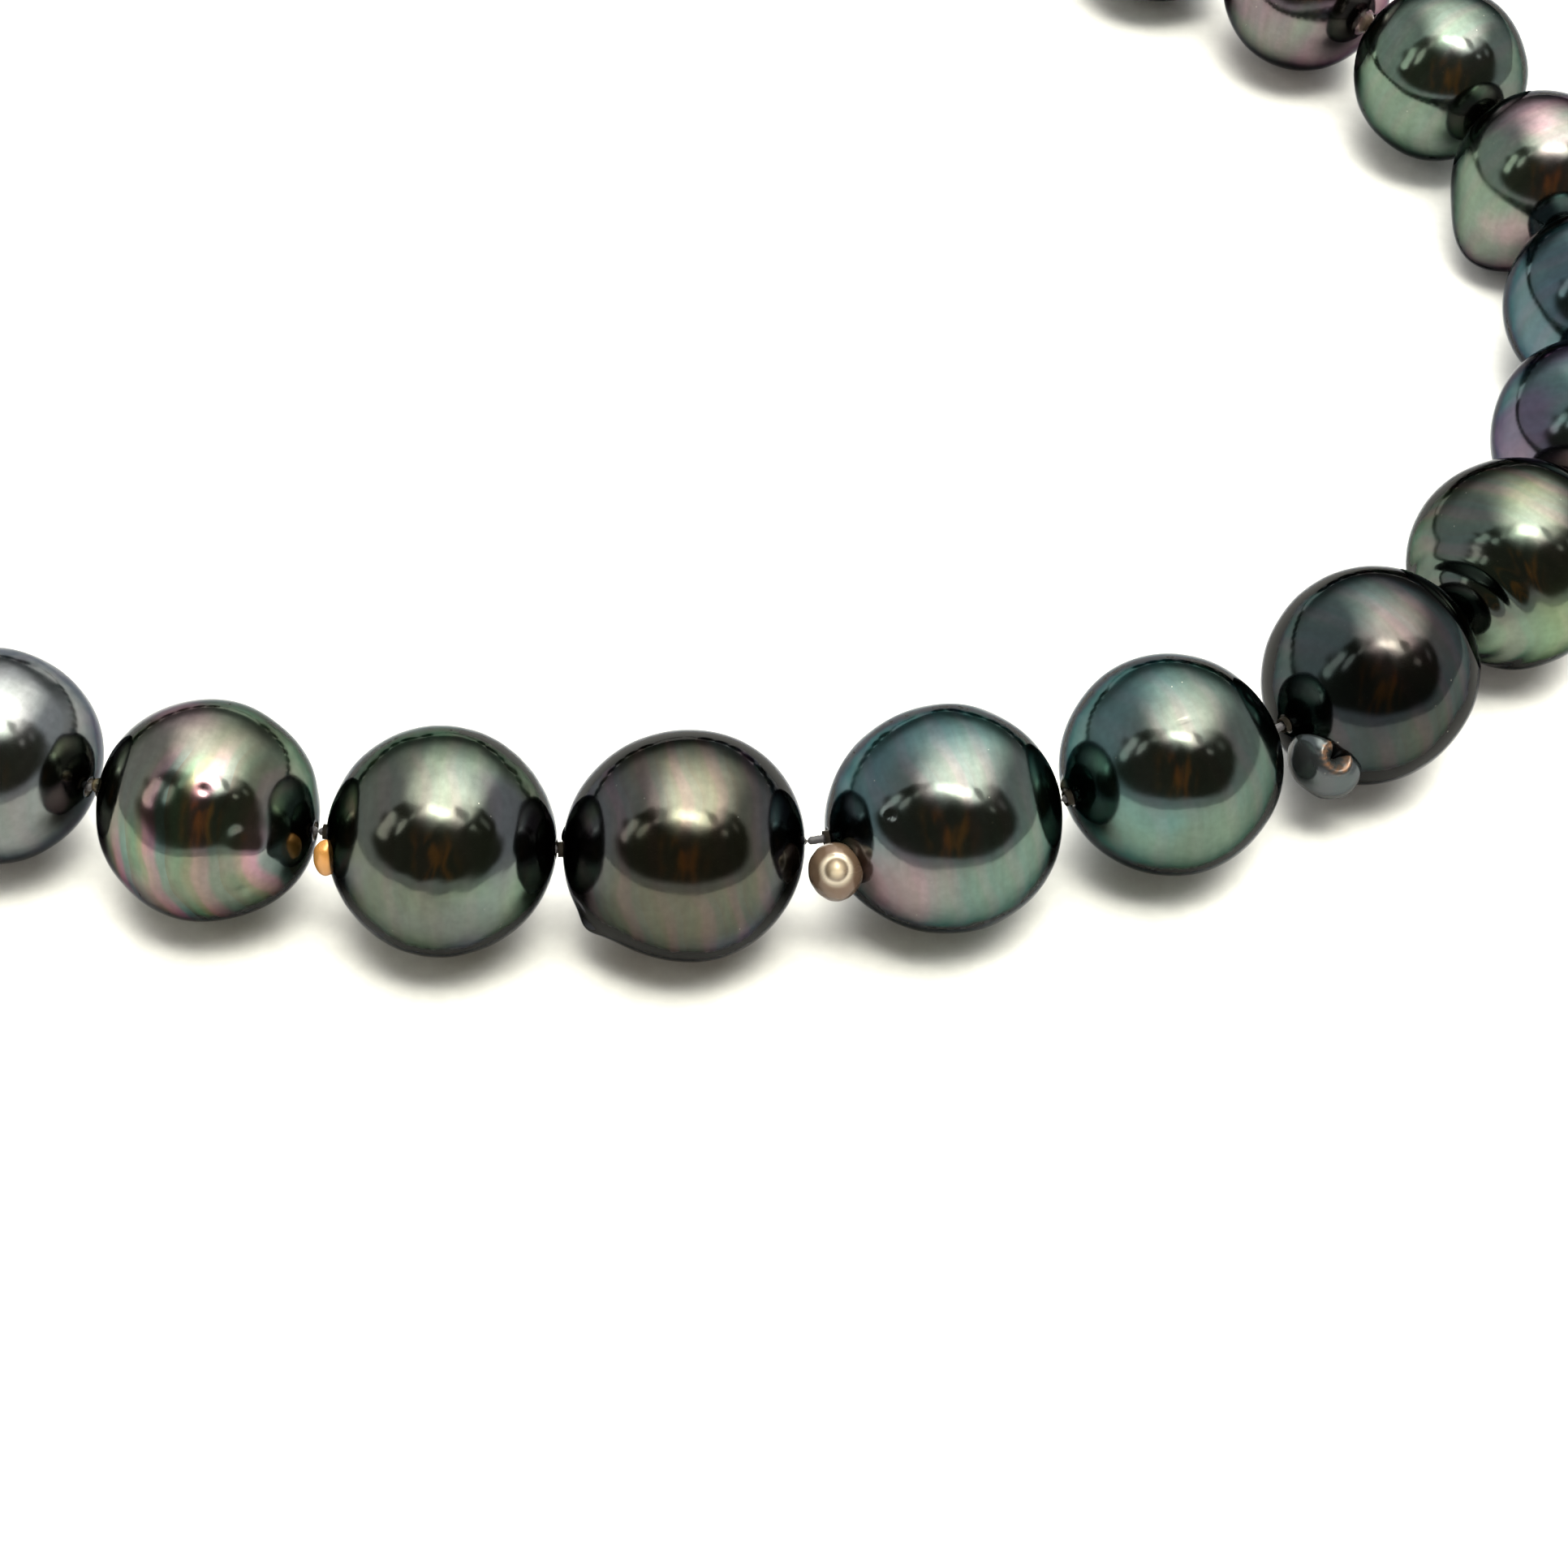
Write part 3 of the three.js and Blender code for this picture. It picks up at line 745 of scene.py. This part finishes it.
def nacre(i):
    """Dark nacre: a tinted mirror under a clear skin, with overtones that drift over it."""
    row = PEARLS[i]
    material, g = new_material(f"nacre_{i + 1:02d}")
    random = np.random.default_rng(700 + i)
    radius = row["width"] / 2 * MM
    shift = tuple(float(part) for part in random.uniform(-20.0, 20.0, 3))
    unit = g.vector("SCALE", g.own_place(), scale=1.0 / radius)
    place = g.vector("ADD", unit, shift)
    warp = g.vector("SUBTRACT", g.noise(place, 1.1, 1.0, colour=True), (0.5, 0.5, 0.5))
    warped = g.vector("ADD", place, g.vector("SCALE", warp, scale=0.5))

    colour = overtones_and_highlight_tints(g, row, unit, warped)
    colour = banded(g, row, unit, place, warped, colour)
    colour = streaks_mottle_and_glints(g, place, colour)
    attribute = g.add("ShaderNodeAttribute", attribute_name="tint")
    grown = attribute.outputs["Alpha"]
    colour = g.mix(grown, colour, attribute.outputs["Color"])

    rough = g.spread(g.noise(place, 2.4, 3.0), 0.35, 0.75, 0.11, 0.17)
    rough = g.math("MULTIPLY_ADD", grown, 0.14, rough)
    swell = g.noise(place, 3.2, 2.0)
    grain = g.times(g.noise(place, 40.0, 3.0), 0.06)
    g.surface({
        "Base Color": colour,
        "Roughness": rough,
        "Metallic": g.math("MULTIPLY_ADD", grown, -0.85, 1.0),
        "Specular Tint": (0.22, 0.23, 0.26),
        "Coat Weight": 0.15,
        "Coat Roughness": 0.06,
        "Coat IOR": 1.5,
        "Normal": g.bump(g.math("ADD", swell, grain), 0.12, radius * 0.02),
    })
    return material


def make_pearl(i):
    row = PEARLS[i]
    around, along = NEAR_GRID if i in NEAR_PEARLS else FAR_GRID
    matrix = pearl_frame(i)
    to_view = np.array(matrix.to_3x3().transposed() @ view_axes()[2])
    parts = [pearl_skin(row, 40 + i, around, along)]
    parts += [knob_skin(row, knob, to_view, i) for knob in row.get("knobs", ())]
    points, faces = joined_parts([part[:2] for part in parts])
    tint = np.concatenate([part[2] for part in parts])
    made = mesh_object(f"visual_{pearl_name(i)}", points, faces, matrix, tint)
    settle(made, nacre(i), pearl_name(i), pearl_body(i))


for index in range(COUNT):
    make_pearl(index)

# ---- Sweeps ----


def swept_frames(points):
    """Tangents and two steady cross axes along a line of points."""
    points = np.asarray(points, dtype=float)
    tangents = np.gradient(points, axis=0)
    tangents /= np.linalg.norm(tangents, axis=1)[:, None]
    side = np.cross(tangents[0], (0.0, 0.0, 1.0))
    if np.linalg.norm(side) < 0.1:
        side = np.cross(tangents[0], (0.0, 1.0, 0.0))
    sides = []
    for tangent in tangents:
        side = unit_vector(side - tangent * (side @ tangent))
        sides.append(side)
    sides = np.array(sides)
    return points, tangents, sides, np.cross(tangents, sides)


def distances(line):
    """How far along a line each of its points is."""
    steps = np.linalg.norm(np.diff(line, axis=0), axis=1)
    return np.concatenate(((0.0,), np.cumsum(steps)))


def swept(line, radius, sides, plies=0, pitch=1.0):
    """A closed tube along a line; with plies its section is lobed and turns once per pitch."""
    points, tangents, first, second = swept_frames(line)
    gone = distances(points)
    end = np.minimum(gone, gone[-1] - gone)
    round_end = np.sqrt(np.clip(1.0 - (1.0 - np.clip(end / radius, 0.0, 1.0)) ** 2, 0.04, 1.0))
    angles = angles_round(sides)
    rings = []
    for i, point in enumerate(points):
        turned = angles - math.tau * gone[i] / pitch if plies else angles
        lobes = 0.84 + 0.16 * np.abs(np.cos(plies * turned / 2)) if plies else np.ones(sides)
        reach = (radius * round_end[i] * lobes)[:, None]
        out = first[i] * np.cos(angles)[:, None] + second[i] * np.sin(angles)[:, None]
        rings.append(point + reach * out)
    faces = [face[::-1] for face in grid_faces(len(rings), sides)]
    return np.concatenate(rings), faces + end_faces(len(rings), sides)


def outward(mesh):
    """Turns every face of each closed shell to the outside."""
    work = bmesh.new()
    work.from_mesh(mesh)
    bmesh.ops.recalc_face_normals(work, faces=work.faces)
    work.to_mesh(mesh)
    work.free()


# ---- Silk ----


def silk_material():
    material, g = new_material("silk")
    fibre = g.noise(g.own_place(), 9000.0, 3.0)
    g.surface({
        "Base Color": g.mix(fibre, linear(0x1E1D20), linear(0x4A474B)),
        "Roughness": 0.62,
        "Sheen Weight": 0.3,
        "Normal": g.bump(fibre, 0.5, 0.02 * MM),
    })
    return material


SILK = silk_material()
SILK_SIDES = 18
SILK_TWIST = 1.1
KNOT_TWIST = 0.9
TO_RIGHT = Vector((RIGHT_KNOT.x - LEFT_KNOT.x, RIGHT_KNOT.y - LEFT_KNOT.y, 0.0)).normalized()

# The knot at each end of the strand, and the way from it to its ring.
ENDS = {0: (LEFT_KNOT, TO_RIGHT), COUNT - 1: (RIGHT_KNOT, -TO_RIGHT)}


def straight(start, end, spacing):
    """Even points on a straight line."""
    start, end = np.array(start), np.array(end)
    count = max(2, int(np.linalg.norm(end - start) / spacing) + 1)
    return start + (end - start) * np.linspace(0.0, 1.0, count)[:, None]


def silk(line, twist):
    """Twisted silk along a line."""
    return swept(line, THREAD_RADIUS, SILK_SIDES, THREAD_PLIES, twist)


def knot_parts(centre):
    """An overhand knot pulled tight: three wound turns."""
    centre = np.array(centre)
    parts = []
    for k in range(3):
        angle = np.linspace(0.0, math.tau, 49)
        tip = math.radians(60 * k + 20)
        u = unit_vector((math.cos(tip), math.sin(tip), 0.25 * (k - 1)))
        v = unit_vector(np.cross(u, (0.3, -0.2, 1.0)))
        reach = KNOT_RADIUS - THREAD_RADIUS
        ring = centre + reach * (np.cos(angle)[:, None] * u + np.sin(angle)[:, None] * v)
        parts.append(silk(ring, KNOT_TWIST))
    return parts


def catmull(points, steps):
    """A smooth line through the points."""
    p = np.asarray(points, dtype=float)
    p = np.concatenate((2 * p[:1] - p[1:2], p, 2 * p[-1:] - p[-2:-1]))
    line = []
    for i in range(1, len(p) - 2):
        a, b, c, d = p[i - 1], p[i], p[i + 1], p[i + 2]
        for t in np.arange(steps) / steps:
            line.append(0.5 * (
                2 * b
                + (c - a) * t
                + (2 * a - 5 * b + 4 * c - d) * t * t
                + (3 * b - a - 3 * c + d) * t ** 3
            ))
    line.append(p[-2])
    return np.array(line)


def gimp_line(knot, toward):
    """Out from the knot, round the ring's wire and back, upright, in millimetres."""
    knot = np.array(knot) / MM
    toward = np.array(toward)
    loop_centre = knot + toward * GIMP_REACH
    loop_centre[2] = CLASP_LEVEL
    along = loop_centre - knot
    length = np.linalg.norm(along)
    along /= length
    level = np.cross((0.0, 0.0, 1.0), toward)
    across = unit_vector(np.cross(along, level))
    middle = (GIMP_START + length) / 2 - GIMP_MIDDLE_BACK
    corners = [(GIMP_START, GIMP_LEG_GAP), (middle, GIMP_MIDDLE_GAP)]
    for degrees in range(120, -121, -30):
        angle = math.radians(degrees)
        corners.append((length + GIMP_LOOP * math.cos(angle), GIMP_LOOP * math.sin(angle)))
    corners += [(middle, -GIMP_MIDDLE_GAP), (GIMP_START, -GIMP_LEG_GAP)]
    return catmull([knot + along * u + across * v for u, v in corners], 12)


def resampled(line, spacing):
    """Even points along a line, and how far along each one is."""
    gone = distances(line)
    places = np.linspace(0.0, gone[-1], int(gone[-1] / spacing) + 1)
    return np.stack([np.interp(places, gone, line[:, k]) for k in range(3)], axis=-1), places


def gimp_coil(line):
    """Fine wire wound close round the line."""
    middle, gone = resampled(line, GIMP_PITCH / 14)
    points, _, first, second = swept_frames(middle)
    angle = (math.tau * gone / GIMP_PITCH)[:, None]
    reach = GIMP_RADIUS - GIMP_WIRE
    return swept(points + reach * (first * np.cos(angle) + second * np.sin(angle)), GIMP_WIRE, 6)


def dressed(name, parts, material, node, body):
    """Makes a piece from parts in millimetres and hangs it on a body."""
    made = mesh_object(name, *joined_parts(parts))
    outward(made.data)
    settle(made, material, node, body)


def make_thread():
    """A length of silk through each pearl, which meets the next at the joint between them."""
    pivots = [np.array(pivot) / MM for pivot in PIVOTS]
    for i in range(COUNT):
        start, end = pivots[i], pivots[i + 1]
        parts = []
        if i in ENDS:
            knot, toward = ENDS[i]
            loop = gimp_line(knot, toward)
            knot = np.array(knot) / MM
            start, end = (knot, end) if i == 0 else (start, knot)
            tails = [straight(knot, loop[0], 0.1)[:-1], loop, straight(loop[-1], knot, 0.1)[1:]]
            parts.append(silk(np.concatenate(tails), SILK_TWIST))
            parts += knot_parts(knot)
        parts.append(silk(straight(start, end, 0.12), SILK_TWIST))
        dressed(f"visual_silk_{i + 1:02d}", parts, SILK, "silk_thread", pearl_body(i))


make_thread()

# ---- Metal ----


def metal_material(name, colour, rough, scratch):
    """Bare metal with smears, drawn lines and a little tarnish."""
    material, g = new_material(name)
    place = g.own_place()
    smear = g.noise(place, 500.0, 3.0)
    lines = g.noise(g.vector("MULTIPLY", place, (300.0, 6000.0, 2500.0)), 1.0, 3.0)
    tarnish = g.spread(g.noise(place, 260.0, 4.0), 0.45, 0.75, 1.0, 0.82)
    g.surface({
        "Base Color": g.vector("SCALE", linear(colour), scale=tarnish),
        "Roughness": g.math("MULTIPLY_ADD", smear, 0.16, rough),
        "Metallic": 1.0,
        "Normal": g.bump(lines, scratch, 0.01 * MM),
    })
    return material


WHITE_METAL = metal_material("white_metal", 0xC4C1BB, 0.1, 0.15)
GIMP_METAL = metal_material("gimp_wire", 0xB9B6B0, 0.2, 0.0)
SPRING_STEEL = metal_material("spring_steel", 0xA9A9AB, 0.22, 0.2)

for side, i in (("left", 0), ("right", COUNT - 1)):
    coil = gimp_coil(gimp_line(*ENDS[i]))
    dressed(f"visual_gimp_{side}", [coil], GIMP_METAL, f"gimp_{side}", pearl_body(i))


def torus(centre, radius, wire, axis, seam=0.0):
    """A closed ring of wire, a little thicker where it was soldered."""
    around, section = 128, 28
    axis = Vector(axis).normalized()
    u = axis.orthogonal().normalized()
    v = axis.cross(u)
    rings = []
    angles = angles_round(section)
    for turn in angles_round(around):
        out = np.array(u) * math.cos(turn) + np.array(v) * math.sin(turn)
        thick = wire * (1.0 + seam * math.exp(-(((turn - math.pi) / 0.12) ** 2)))
        rings.append(
            np.array(centre)
            + out * (radius + thick * np.cos(angles))[:, None]
            + np.array(axis) * (thick * np.sin(angles))[:, None]
        )
    return np.concatenate(rings), grid_faces(around, section, closed=True)


for side in ("left", "right"):
    node = f"ring_{side}"
    ring = torus(box_middle(node) / MM, RING_RADIUS, RING_WIRE, (0, 0, 1), 0.06)
    dressed(f"visual_{node}", [ring], WHITE_METAL, node, node)

# ---- The swivel claw, in its own frame: origin in the eye, +X to the nose, +Z up ----

EYE_REACH = GIMP_REACH + 2 * RING_RADIUS + 3 * RING_SLACK
EYE_PLACE = LEFT_KNOT + TO_RIGHT * EYE_REACH * MM
CLAW_FRAME = frame_along(TO_RIGHT, Vector((EYE_PLACE.x, EYE_PLACE.y, CLASP_LEVEL * MM)))

# Ovals are (middle, half length, half width).
OUTER = (8.2, 5.3, 3.3)
MOUTH = (9.3, 2.9, 1.75)

# The gate's opening is (start, end, lower side), and the lever's slot also has its width.
GATE = (7.45, 11.3, 0.35)
SLOT = (3.75, 7.6, -0.9, 1.3)

CLAW_SOFT = 0.35
GATE_CLEARANCE = 0.28
LEVER_THICK = 1.1
GATE_THICK = 2.2
RIVET_PLACE = (5.5, 1.3)
RIVET_RADIUS = 0.4
RIVET_HOLE = 0.46
LEVER_HUB = 0.95
LEVER_TIP = (8.2, 2.3)
THUMB_PLACE = (4.75, 3.9)
SPRING_LINE = [(4.9, -0.74), (5.7, -0.45), (6.4, 0.1), (7.0, 0.9)]
SPRING_HALF = 0.1
SPRING_WIDE = 0.9

# Rods are (radius, start, end). The post turns in the stem, and its head keeps it there.
STEM = (1.15, 1.9, 4.2)
HEAD_ROOM = (0.85, 3.8, 4.6)
POST_HOLE = (0.54, 0.0, SLOT[0] + 0.1)
POST = (0.45, 1.2, 4.35)
POST_HEAD = (0.7, 3.95, 4.35)
UNION_GRAIN = 0.08


def oval(x, half_long, half_wide, drawn_in=0.0):
    """An oval outline with its middle on the X axis."""
    long, wide = half_long - drawn_in, half_wide - drawn_in
    return [(x + long * math.cos(a), wide * math.sin(a)) for a in angles_round(96)]


def rectangle(x0, x1, y0, y1):
    return [(x0, y0), (x1, y0), (x1, y1), (x0, y1)]


def disc(x, y, radius):
    return [(x + radius * math.cos(a), y + radius * math.sin(a)) for a in angles_round(48)]


def bar(start, end, half):
    """The outline of a bar with round ends."""
    heading = math.atan2(end[1] - start[1], end[0] - start[0])
    outline = []
    for (x, y), turn in ((end, -math.pi / 2), (start, math.pi / 2)):
        for step in np.linspace(0.0, math.pi, 17):
            angle = heading + turn + step
            outline.append((x + half * math.cos(angle), y + half * math.sin(angle)))
    return outline


def prism(outline, thick):
    """An outline given a thickness, half above and half below level 0."""
    count = len(outline)
    points = [(x, y, z) for z in (-thick / 2, thick / 2) for x, y in outline]
    return np.array(points), end_faces(2, count) + grid_faces(2, count)


def rod(radius, start, end):
    """A round rod along X."""
    points, faces = prism(disc(0.0, 0.0, radius), end - start)
    along = points[:, 2] + (start + end) / 2
    return np.stack((along, points[:, 0], points[:, 1]), axis=-1), faces


def raw_solid(parts):
    """A working object of one or more overlapping parts, in millimetres."""
    points, faces = joined_parts(parts)
    mesh = bpy.data.meshes.new("raw")
    mesh.from_pydata(points.tolist(), [], faces)
    outward(mesh)
    made = bpy.data.objects.new("raw", mesh)
    SCENE.collection.objects.link(made)
    return made


def freeze(made):
    """Turns an object's modifiers into its mesh."""
    graph = bpy.context.evaluated_depsgraph_get()
    mesh = bpy.data.meshes.new_from_object(made.evaluated_get(graph))
    made.modifiers.clear()
    made.data = mesh


def add_remesh(made, grain):
    """Rebuilds an object's overlapping shells as one skin with faces of the grain's size."""
    remesh = made.modifiers.new("remesh", "REMESH")
    remesh.mode = "VOXEL"
    remesh.voxel_size = grain


def union(parts):
    """Overlapping parts as one closed solid, still in millimetres."""
    made = raw_solid(parts)
    add_remesh(made, UNION_GRAIN)
    freeze(made)
    return made


def combine(base, operation, parts):
    """Cuts each part from the base, or keeps what they share."""
    for part in parts:
        cutter = raw_solid([part])
        change = base.modifiers.new("change", "BOOLEAN")
        change.operation = operation
        change.solver = "EXACT"
        change.object = cutter
        freeze(base)
        bpy.data.objects.remove(cutter)
    return base


def softened(name, solids, grain, passes):
    """One seamless skin round overlapping solids, with its edges rounded off."""
    for extra in solids[1:]:
        work = bmesh.new()
        work.from_mesh(solids[0].data)
        work.from_mesh(extra.data)
        work.to_mesh(solids[0].data)
        work.free()
        bpy.data.objects.remove(extra)
    made = solids[0]
    made.name = name
    add_remesh(made, grain)
    smooth = made.modifiers.new("smooth", "SMOOTH")
    smooth.factor = 0.5
    smooth.iterations = passes
    freeze(made)
    made.data.transform(Matrix.Scale(MM, 4))
    made.data.polygons.foreach_set("use_smooth", [True] * len(made.data.polygons))
    made.matrix_world = CLAW_FRAME
    return made


def soft_plate(size, thick):
    """Three stacked ovals, which a remesh turns into a plate with round edges."""
    return [
        prism(oval(*size), thick - 2 * CLAW_SOFT),
        prism(oval(*size, CLAW_SOFT / 2), thick - CLAW_SOFT),
        prism(oval(*size, CLAW_SOFT), thick),
    ]


def make_claw():
    far = OUTER[2] + 1.0
    whole = union([*soft_plate(OUTER, CLAW_THICK), rod(*STEM)])
    cuts = [
        prism(oval(*MOUTH), 2 * CLAW_THICK),
        prism(rectangle(GATE[0], GATE[1], GATE[2], far), 2 * CLAW_THICK),
        prism(rectangle(SLOT[0], SLOT[1], SLOT[2], far), SLOT[3]),
        rod(*HEAD_ROOM),
        rod(*POST_HOLE),
        prism(disc(*RIVET_PLACE, RIVET_HOLE), 2 * CLAW_THICK),
    ]
    claw = softened("visual_clasp_claw", [combine(whole, "DIFFERENCE", cuts)], grain=0.07, passes=12)
    settle(claw, WHITE_METAL, "clasp_claw", "clasp_claw")


def make_lever():
    window = prism(
        rectangle(GATE[0] + GATE_CLEARANCE, GATE[1] - GATE_CLEARANCE, GATE[2], OUTER[2] + 1.0),
        GATE_THICK,
    )
    gate = combine(union(soft_plate(OUTER, GATE_THICK)), "INTERSECT", [window])
    combine(gate, "DIFFERENCE", [prism(oval(*MOUTH), 2 * GATE_THICK)])
    arms = union([
        prism(disc(*RIVET_PLACE, LEVER_HUB), LEVER_THICK),
        prism(bar(RIVET_PLACE, LEVER_TIP, 0.6), LEVER_THICK),
        prism(bar(RIVET_PLACE, THUMB_PLACE, 0.5), LEVER_THICK),
        prism(disc(*THUMB_PLACE, 0.62), GATE_THICK),
        prism(disc(*THUMB_PLACE, 0.74), GATE_THICK - 0.5),
    ])
    combine(arms, "DIFFERENCE", [prism(disc(*RIVET_PLACE, RIVET_HOLE), 2 * LEVER_THICK)])
    lever = softened("visual_clasp_lever", [arms, gate], grain=0.07, passes=10)
    settle(lever, WHITE_METAL, "clasp_lever", "clasp_lever")


def make_eye():
    ring = torus((0.0, 0.0, 0.0), EYE_RADIUS, EYE_WIRE, (0, 1, 0))
    whole = raw_solid([ring, rod(*POST), rod(*POST_HEAD)])
    eye = softened("visual_clasp_eye", [whole], grain=0.06, passes=2)
    settle(eye, WHITE_METAL, "clasp_eye", "clasp_eye")


def make_rivet_and_spring():
    pin = raw_solid([prism(disc(*RIVET_PLACE, RIVET_RADIUS), CLAW_THICK)])
    rivet = softened("visual_clasp_rivet", [pin], grain=0.05, passes=3)
    settle(rivet, SPRING_STEEL, "clasp_rivet", "clasp_claw")
    line = catmull([(x, y, 0.0) for x, y in SPRING_LINE], 10)
    ahead = np.gradient(line, axis=0)
    ahead /= np.linalg.norm(ahead, axis=1)[:, None]
    across = np.stack((-ahead[:, 1], ahead[:, 0]), axis=-1) * SPRING_HALF
    outline = np.concatenate((line[:, :2] - across, (line[:, :2] + across)[::-1]))
    leaf = raw_solid([prism(outline.tolist(), SPRING_WIDE)])
    spring = softened("visual_clasp_spring", [leaf], grain=0.035, passes=2)
    settle(spring, SPRING_STEEL, "clasp_spring")
    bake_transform(spring)


make_claw()
make_lever()
make_eye()
make_rivet_and_spring()

# ---- Floor, room and soft light ----

FLOOR_HALF = 3.0


def make_floor():
    corners = [(x, y, 0.0) for x, y in rectangle(-FLOOR_HALF, FLOOR_HALF, -FLOOR_HALF, FLOOR_HALF)]
    mesh = bpy.data.meshes.new("floor")
    mesh.from_pydata(corners, [], [(0, 1, 2, 3)])
    floor = bpy.data.objects.new("floor", mesh)
    SCENE.collection.objects.link(floor)
    material, g = new_material("floor")
    speck = g.noise(g.own_place(), 900.0, 3.0)
    colour = g.mix(g.spread(speck, 0.3, 0.7), (0.86, 0.86, 0.85), (0.9, 0.9, 0.89))
    g.surface({"Base Color": colour, "Roughness": 0.7})
    floor.data.materials.append(material)


# Angles in the room are in degrees, and its light is in times that of plain white. Where
# two angles stand together, something grows from nothing at the first to full at the second.
DARK_HALF_WIDE = 68
DARK_HALF_TALL = 40
DARK = (0.12, 0.12, 0.09)
GLOW = (0.6, 0.27, 0.09)
LAMP = (11.5, 11.3, 10.2)
LAMP_ASIDE = 8
LAMP_SIDES = (43, 9)
LAMP_FRONT = (62, 80)
LAMP_BACK = (176, 86)
LAMP_TORN = 26
LAMP_DROOP = -12
LAMP_DROOP_WIDE = 38
CORE = (30.0, 29.5, 25.5)
CORE_ASIDE = 4
CORE_SIDES = (17, 4)
CORE_FROM_FRONT = 82
CORE_TALL = (9, 2)
WALL = (1.15, 1.17, 1.2)
LOW_WALL = (1.15, 1.15, 1.13)
WALL_BEHIND = (0.35, 0.37, 0.35)

# Faint streaks of light at the edge of the dark side: where each is, which way it runs,
# how wide in degrees and how bright. Both directions are right, up and back in the view.
STREAKS = [
    ((-0.76, 0.24, 0.62), (0.5, 0.8, 0.3), 6, 2.6),
    ((-0.55, 0.28, 0.76), (0.35, 0.85, 0.4), 4.5, 2.2),
    ((-0.4, 0.42, 0.8), (0.6, 0.7, 0.2), 4, 1.8),
    ((0.72, 0.36, 0.58), (-0.5, 0.75, 0.4), 5.5, 2.6),
    ((0.5, 0.36, 0.77), (-0.3, 0.9, 0.3), 3.5, 1.6),
]


def make_room():
    """A long soft light overhead, a pale room, and a dark side behind the view."""
    world = bpy.data.worlds.new("room")
    world.use_nodes = True
    SCENE.world = world
    g = Graph(world.node_tree)
    direction = g.add("ShaderNodeTexCoord").outputs["Generated"]
    right, up, back = view_axes()
    front = Vector((back.x, back.y, 0.0)).normalized()
    aside, rise, near = (g.along(direction, axis) for axis in (right, up, back))
    high = g.along(direction, (0.0, 0.0, 1.0))
    ahead = g.along(direction, front)
    torn = g.math("SUBTRACT", g.noise(direction, 2.4, 1.5), 0.5)

    # The dark side is an oval with a ragged upper edge, cut off level above the floor.
    wide = g.math("DIVIDE", g.math("ARCTAN2", aside, near), math.radians(DARK_HALF_WIDE))
    tall = g.math("DIVIDE", g.math("ARCSINE", rise), math.radians(DARK_HALF_TALL))
    off = g.math("ADD", g.times(wide, wide), g.times(tall, tall))
    ragged = g.times(g.spread(tall, -0.2, 0.6), torn)
    off = g.math("MULTIPLY_ADD", ragged, 1.6, off)
    outside = g.math("MAXIMUM", g.spread(off, 0.8, 1.15), g.spread(high, 0.11, 0.07))

    # The lamp runs back overhead from the dark side's upper edge, and is brightest there.
    side_angle = g.math("SUBTRACT", g.math("ARCSINE", aside), math.radians(LAMP_ASIDE))
    arch = g.math("ARCTAN2", high, ahead)
    arch = g.math("MULTIPLY_ADD", torn, math.radians(LAMP_TORN), arch)
    droop = g.math("POWER", g.math("DIVIDE", side_angle, math.radians(LAMP_DROOP_WIDE)), 2.0)
    front_edge = g.math("MULTIPLY_ADD", droop, math.radians(LAMP_DROOP), arch)
    lamp = g.within(g.math("ABSOLUTE", side_angle), LAMP_SIDES)
    lamp = g.times(lamp, g.within(front_edge, LAMP_FRONT))
    lamp = g.times(lamp, g.within(arch, LAMP_BACK))
    core_side = g.math("ABSOLUTE", g.math("ADD", side_angle, math.radians(CORE_ASIDE)))
    core_rise = g.math("ABSOLUTE", g.math("SUBTRACT", front_edge, math.radians(CORE_FROM_FRONT)))
    core = g.times(g.within(core_side, CORE_SIDES), g.within(core_rise, CORE_TALL))

    behind = g.spread(ahead, -0.55, -0.9)
    low = g.spread(high, 0.42, 0.1)
    wall = g.mix(g.spread(high, 0.14, 0.07), WALL, LOW_WALL)
    wall = g.mix(g.times(behind, low), wall, WALL_BEHIND)
    room = g.mix(lamp, wall, LAMP)
    room = g.mix(core, room, CORE)
    for spot, run, reach, light in STREAKS:
        place = (right * spot[0] + up * spot[1] + back * spot[2]).normalized()
        along = right * run[0] + up * run[1] + back * run[2]
        along = (along - place * along.dot(place)).normalized()
        length = g.along(direction, along)
        toward = g.math("MULTIPLY_ADD", g.times(length, length), 0.46, g.along(direction, place))
        toward = g.math("MULTIPLY_ADD", torn, 0.03, toward)
        inside = g.spread(toward, math.cos(math.radians(reach)), 1.0)
        room = g.mix(inside, room, (light, light, light * 0.9))
        outside = g.math("MAXIMUM", outside, inside)
    outside = g.math("MAXIMUM", outside, lamp)

    # A few upright copper tongues glow in the middle of the dark side.
    flame = g.add("ShaderNodeCombineXYZ", {"X": g.times(aside, 7.0), "Y": g.times(rise, 1.6)})
    tongues = g.spread(g.noise(flame.outputs[0], 1.0, 1.0), 0.47, 0.66)
    glow = g.times(tongues, g.spread(g.math("ABSOLUTE", wide), 0.45, 0.1))
    glow = g.times(glow, g.spread(tall, 0.5, -0.1))
    colour = g.mix(outside, g.mix(glow, DARK, GLOW), room)
    background = g.add("ShaderNodeBackground", {"Color": colour, "Strength": 1.0})
    g.add("ShaderNodeOutputWorld", {"Surface": background.outputs[0]})


def make_soft_light():
    """A wide, faint light straight above. What shines on the pearls is the room's own lamp."""
    data = bpy.data.lights.new("soft_light", "AREA")
    data.shape = "DISK"
    data.size = 0.5
    data.energy = 0.2
    light = bpy.data.objects.new("soft_light", data)
    light.location = (0.0, 0.0, 0.6)
    light.visible_glossy = False
    light.visible_camera = False
    SCENE.collection.objects.link(light)


make_floor()
make_room()
make_soft_light()
SCENE.view_settings.view_transform = "Standard"
SCENE.view_settings.look = "None"
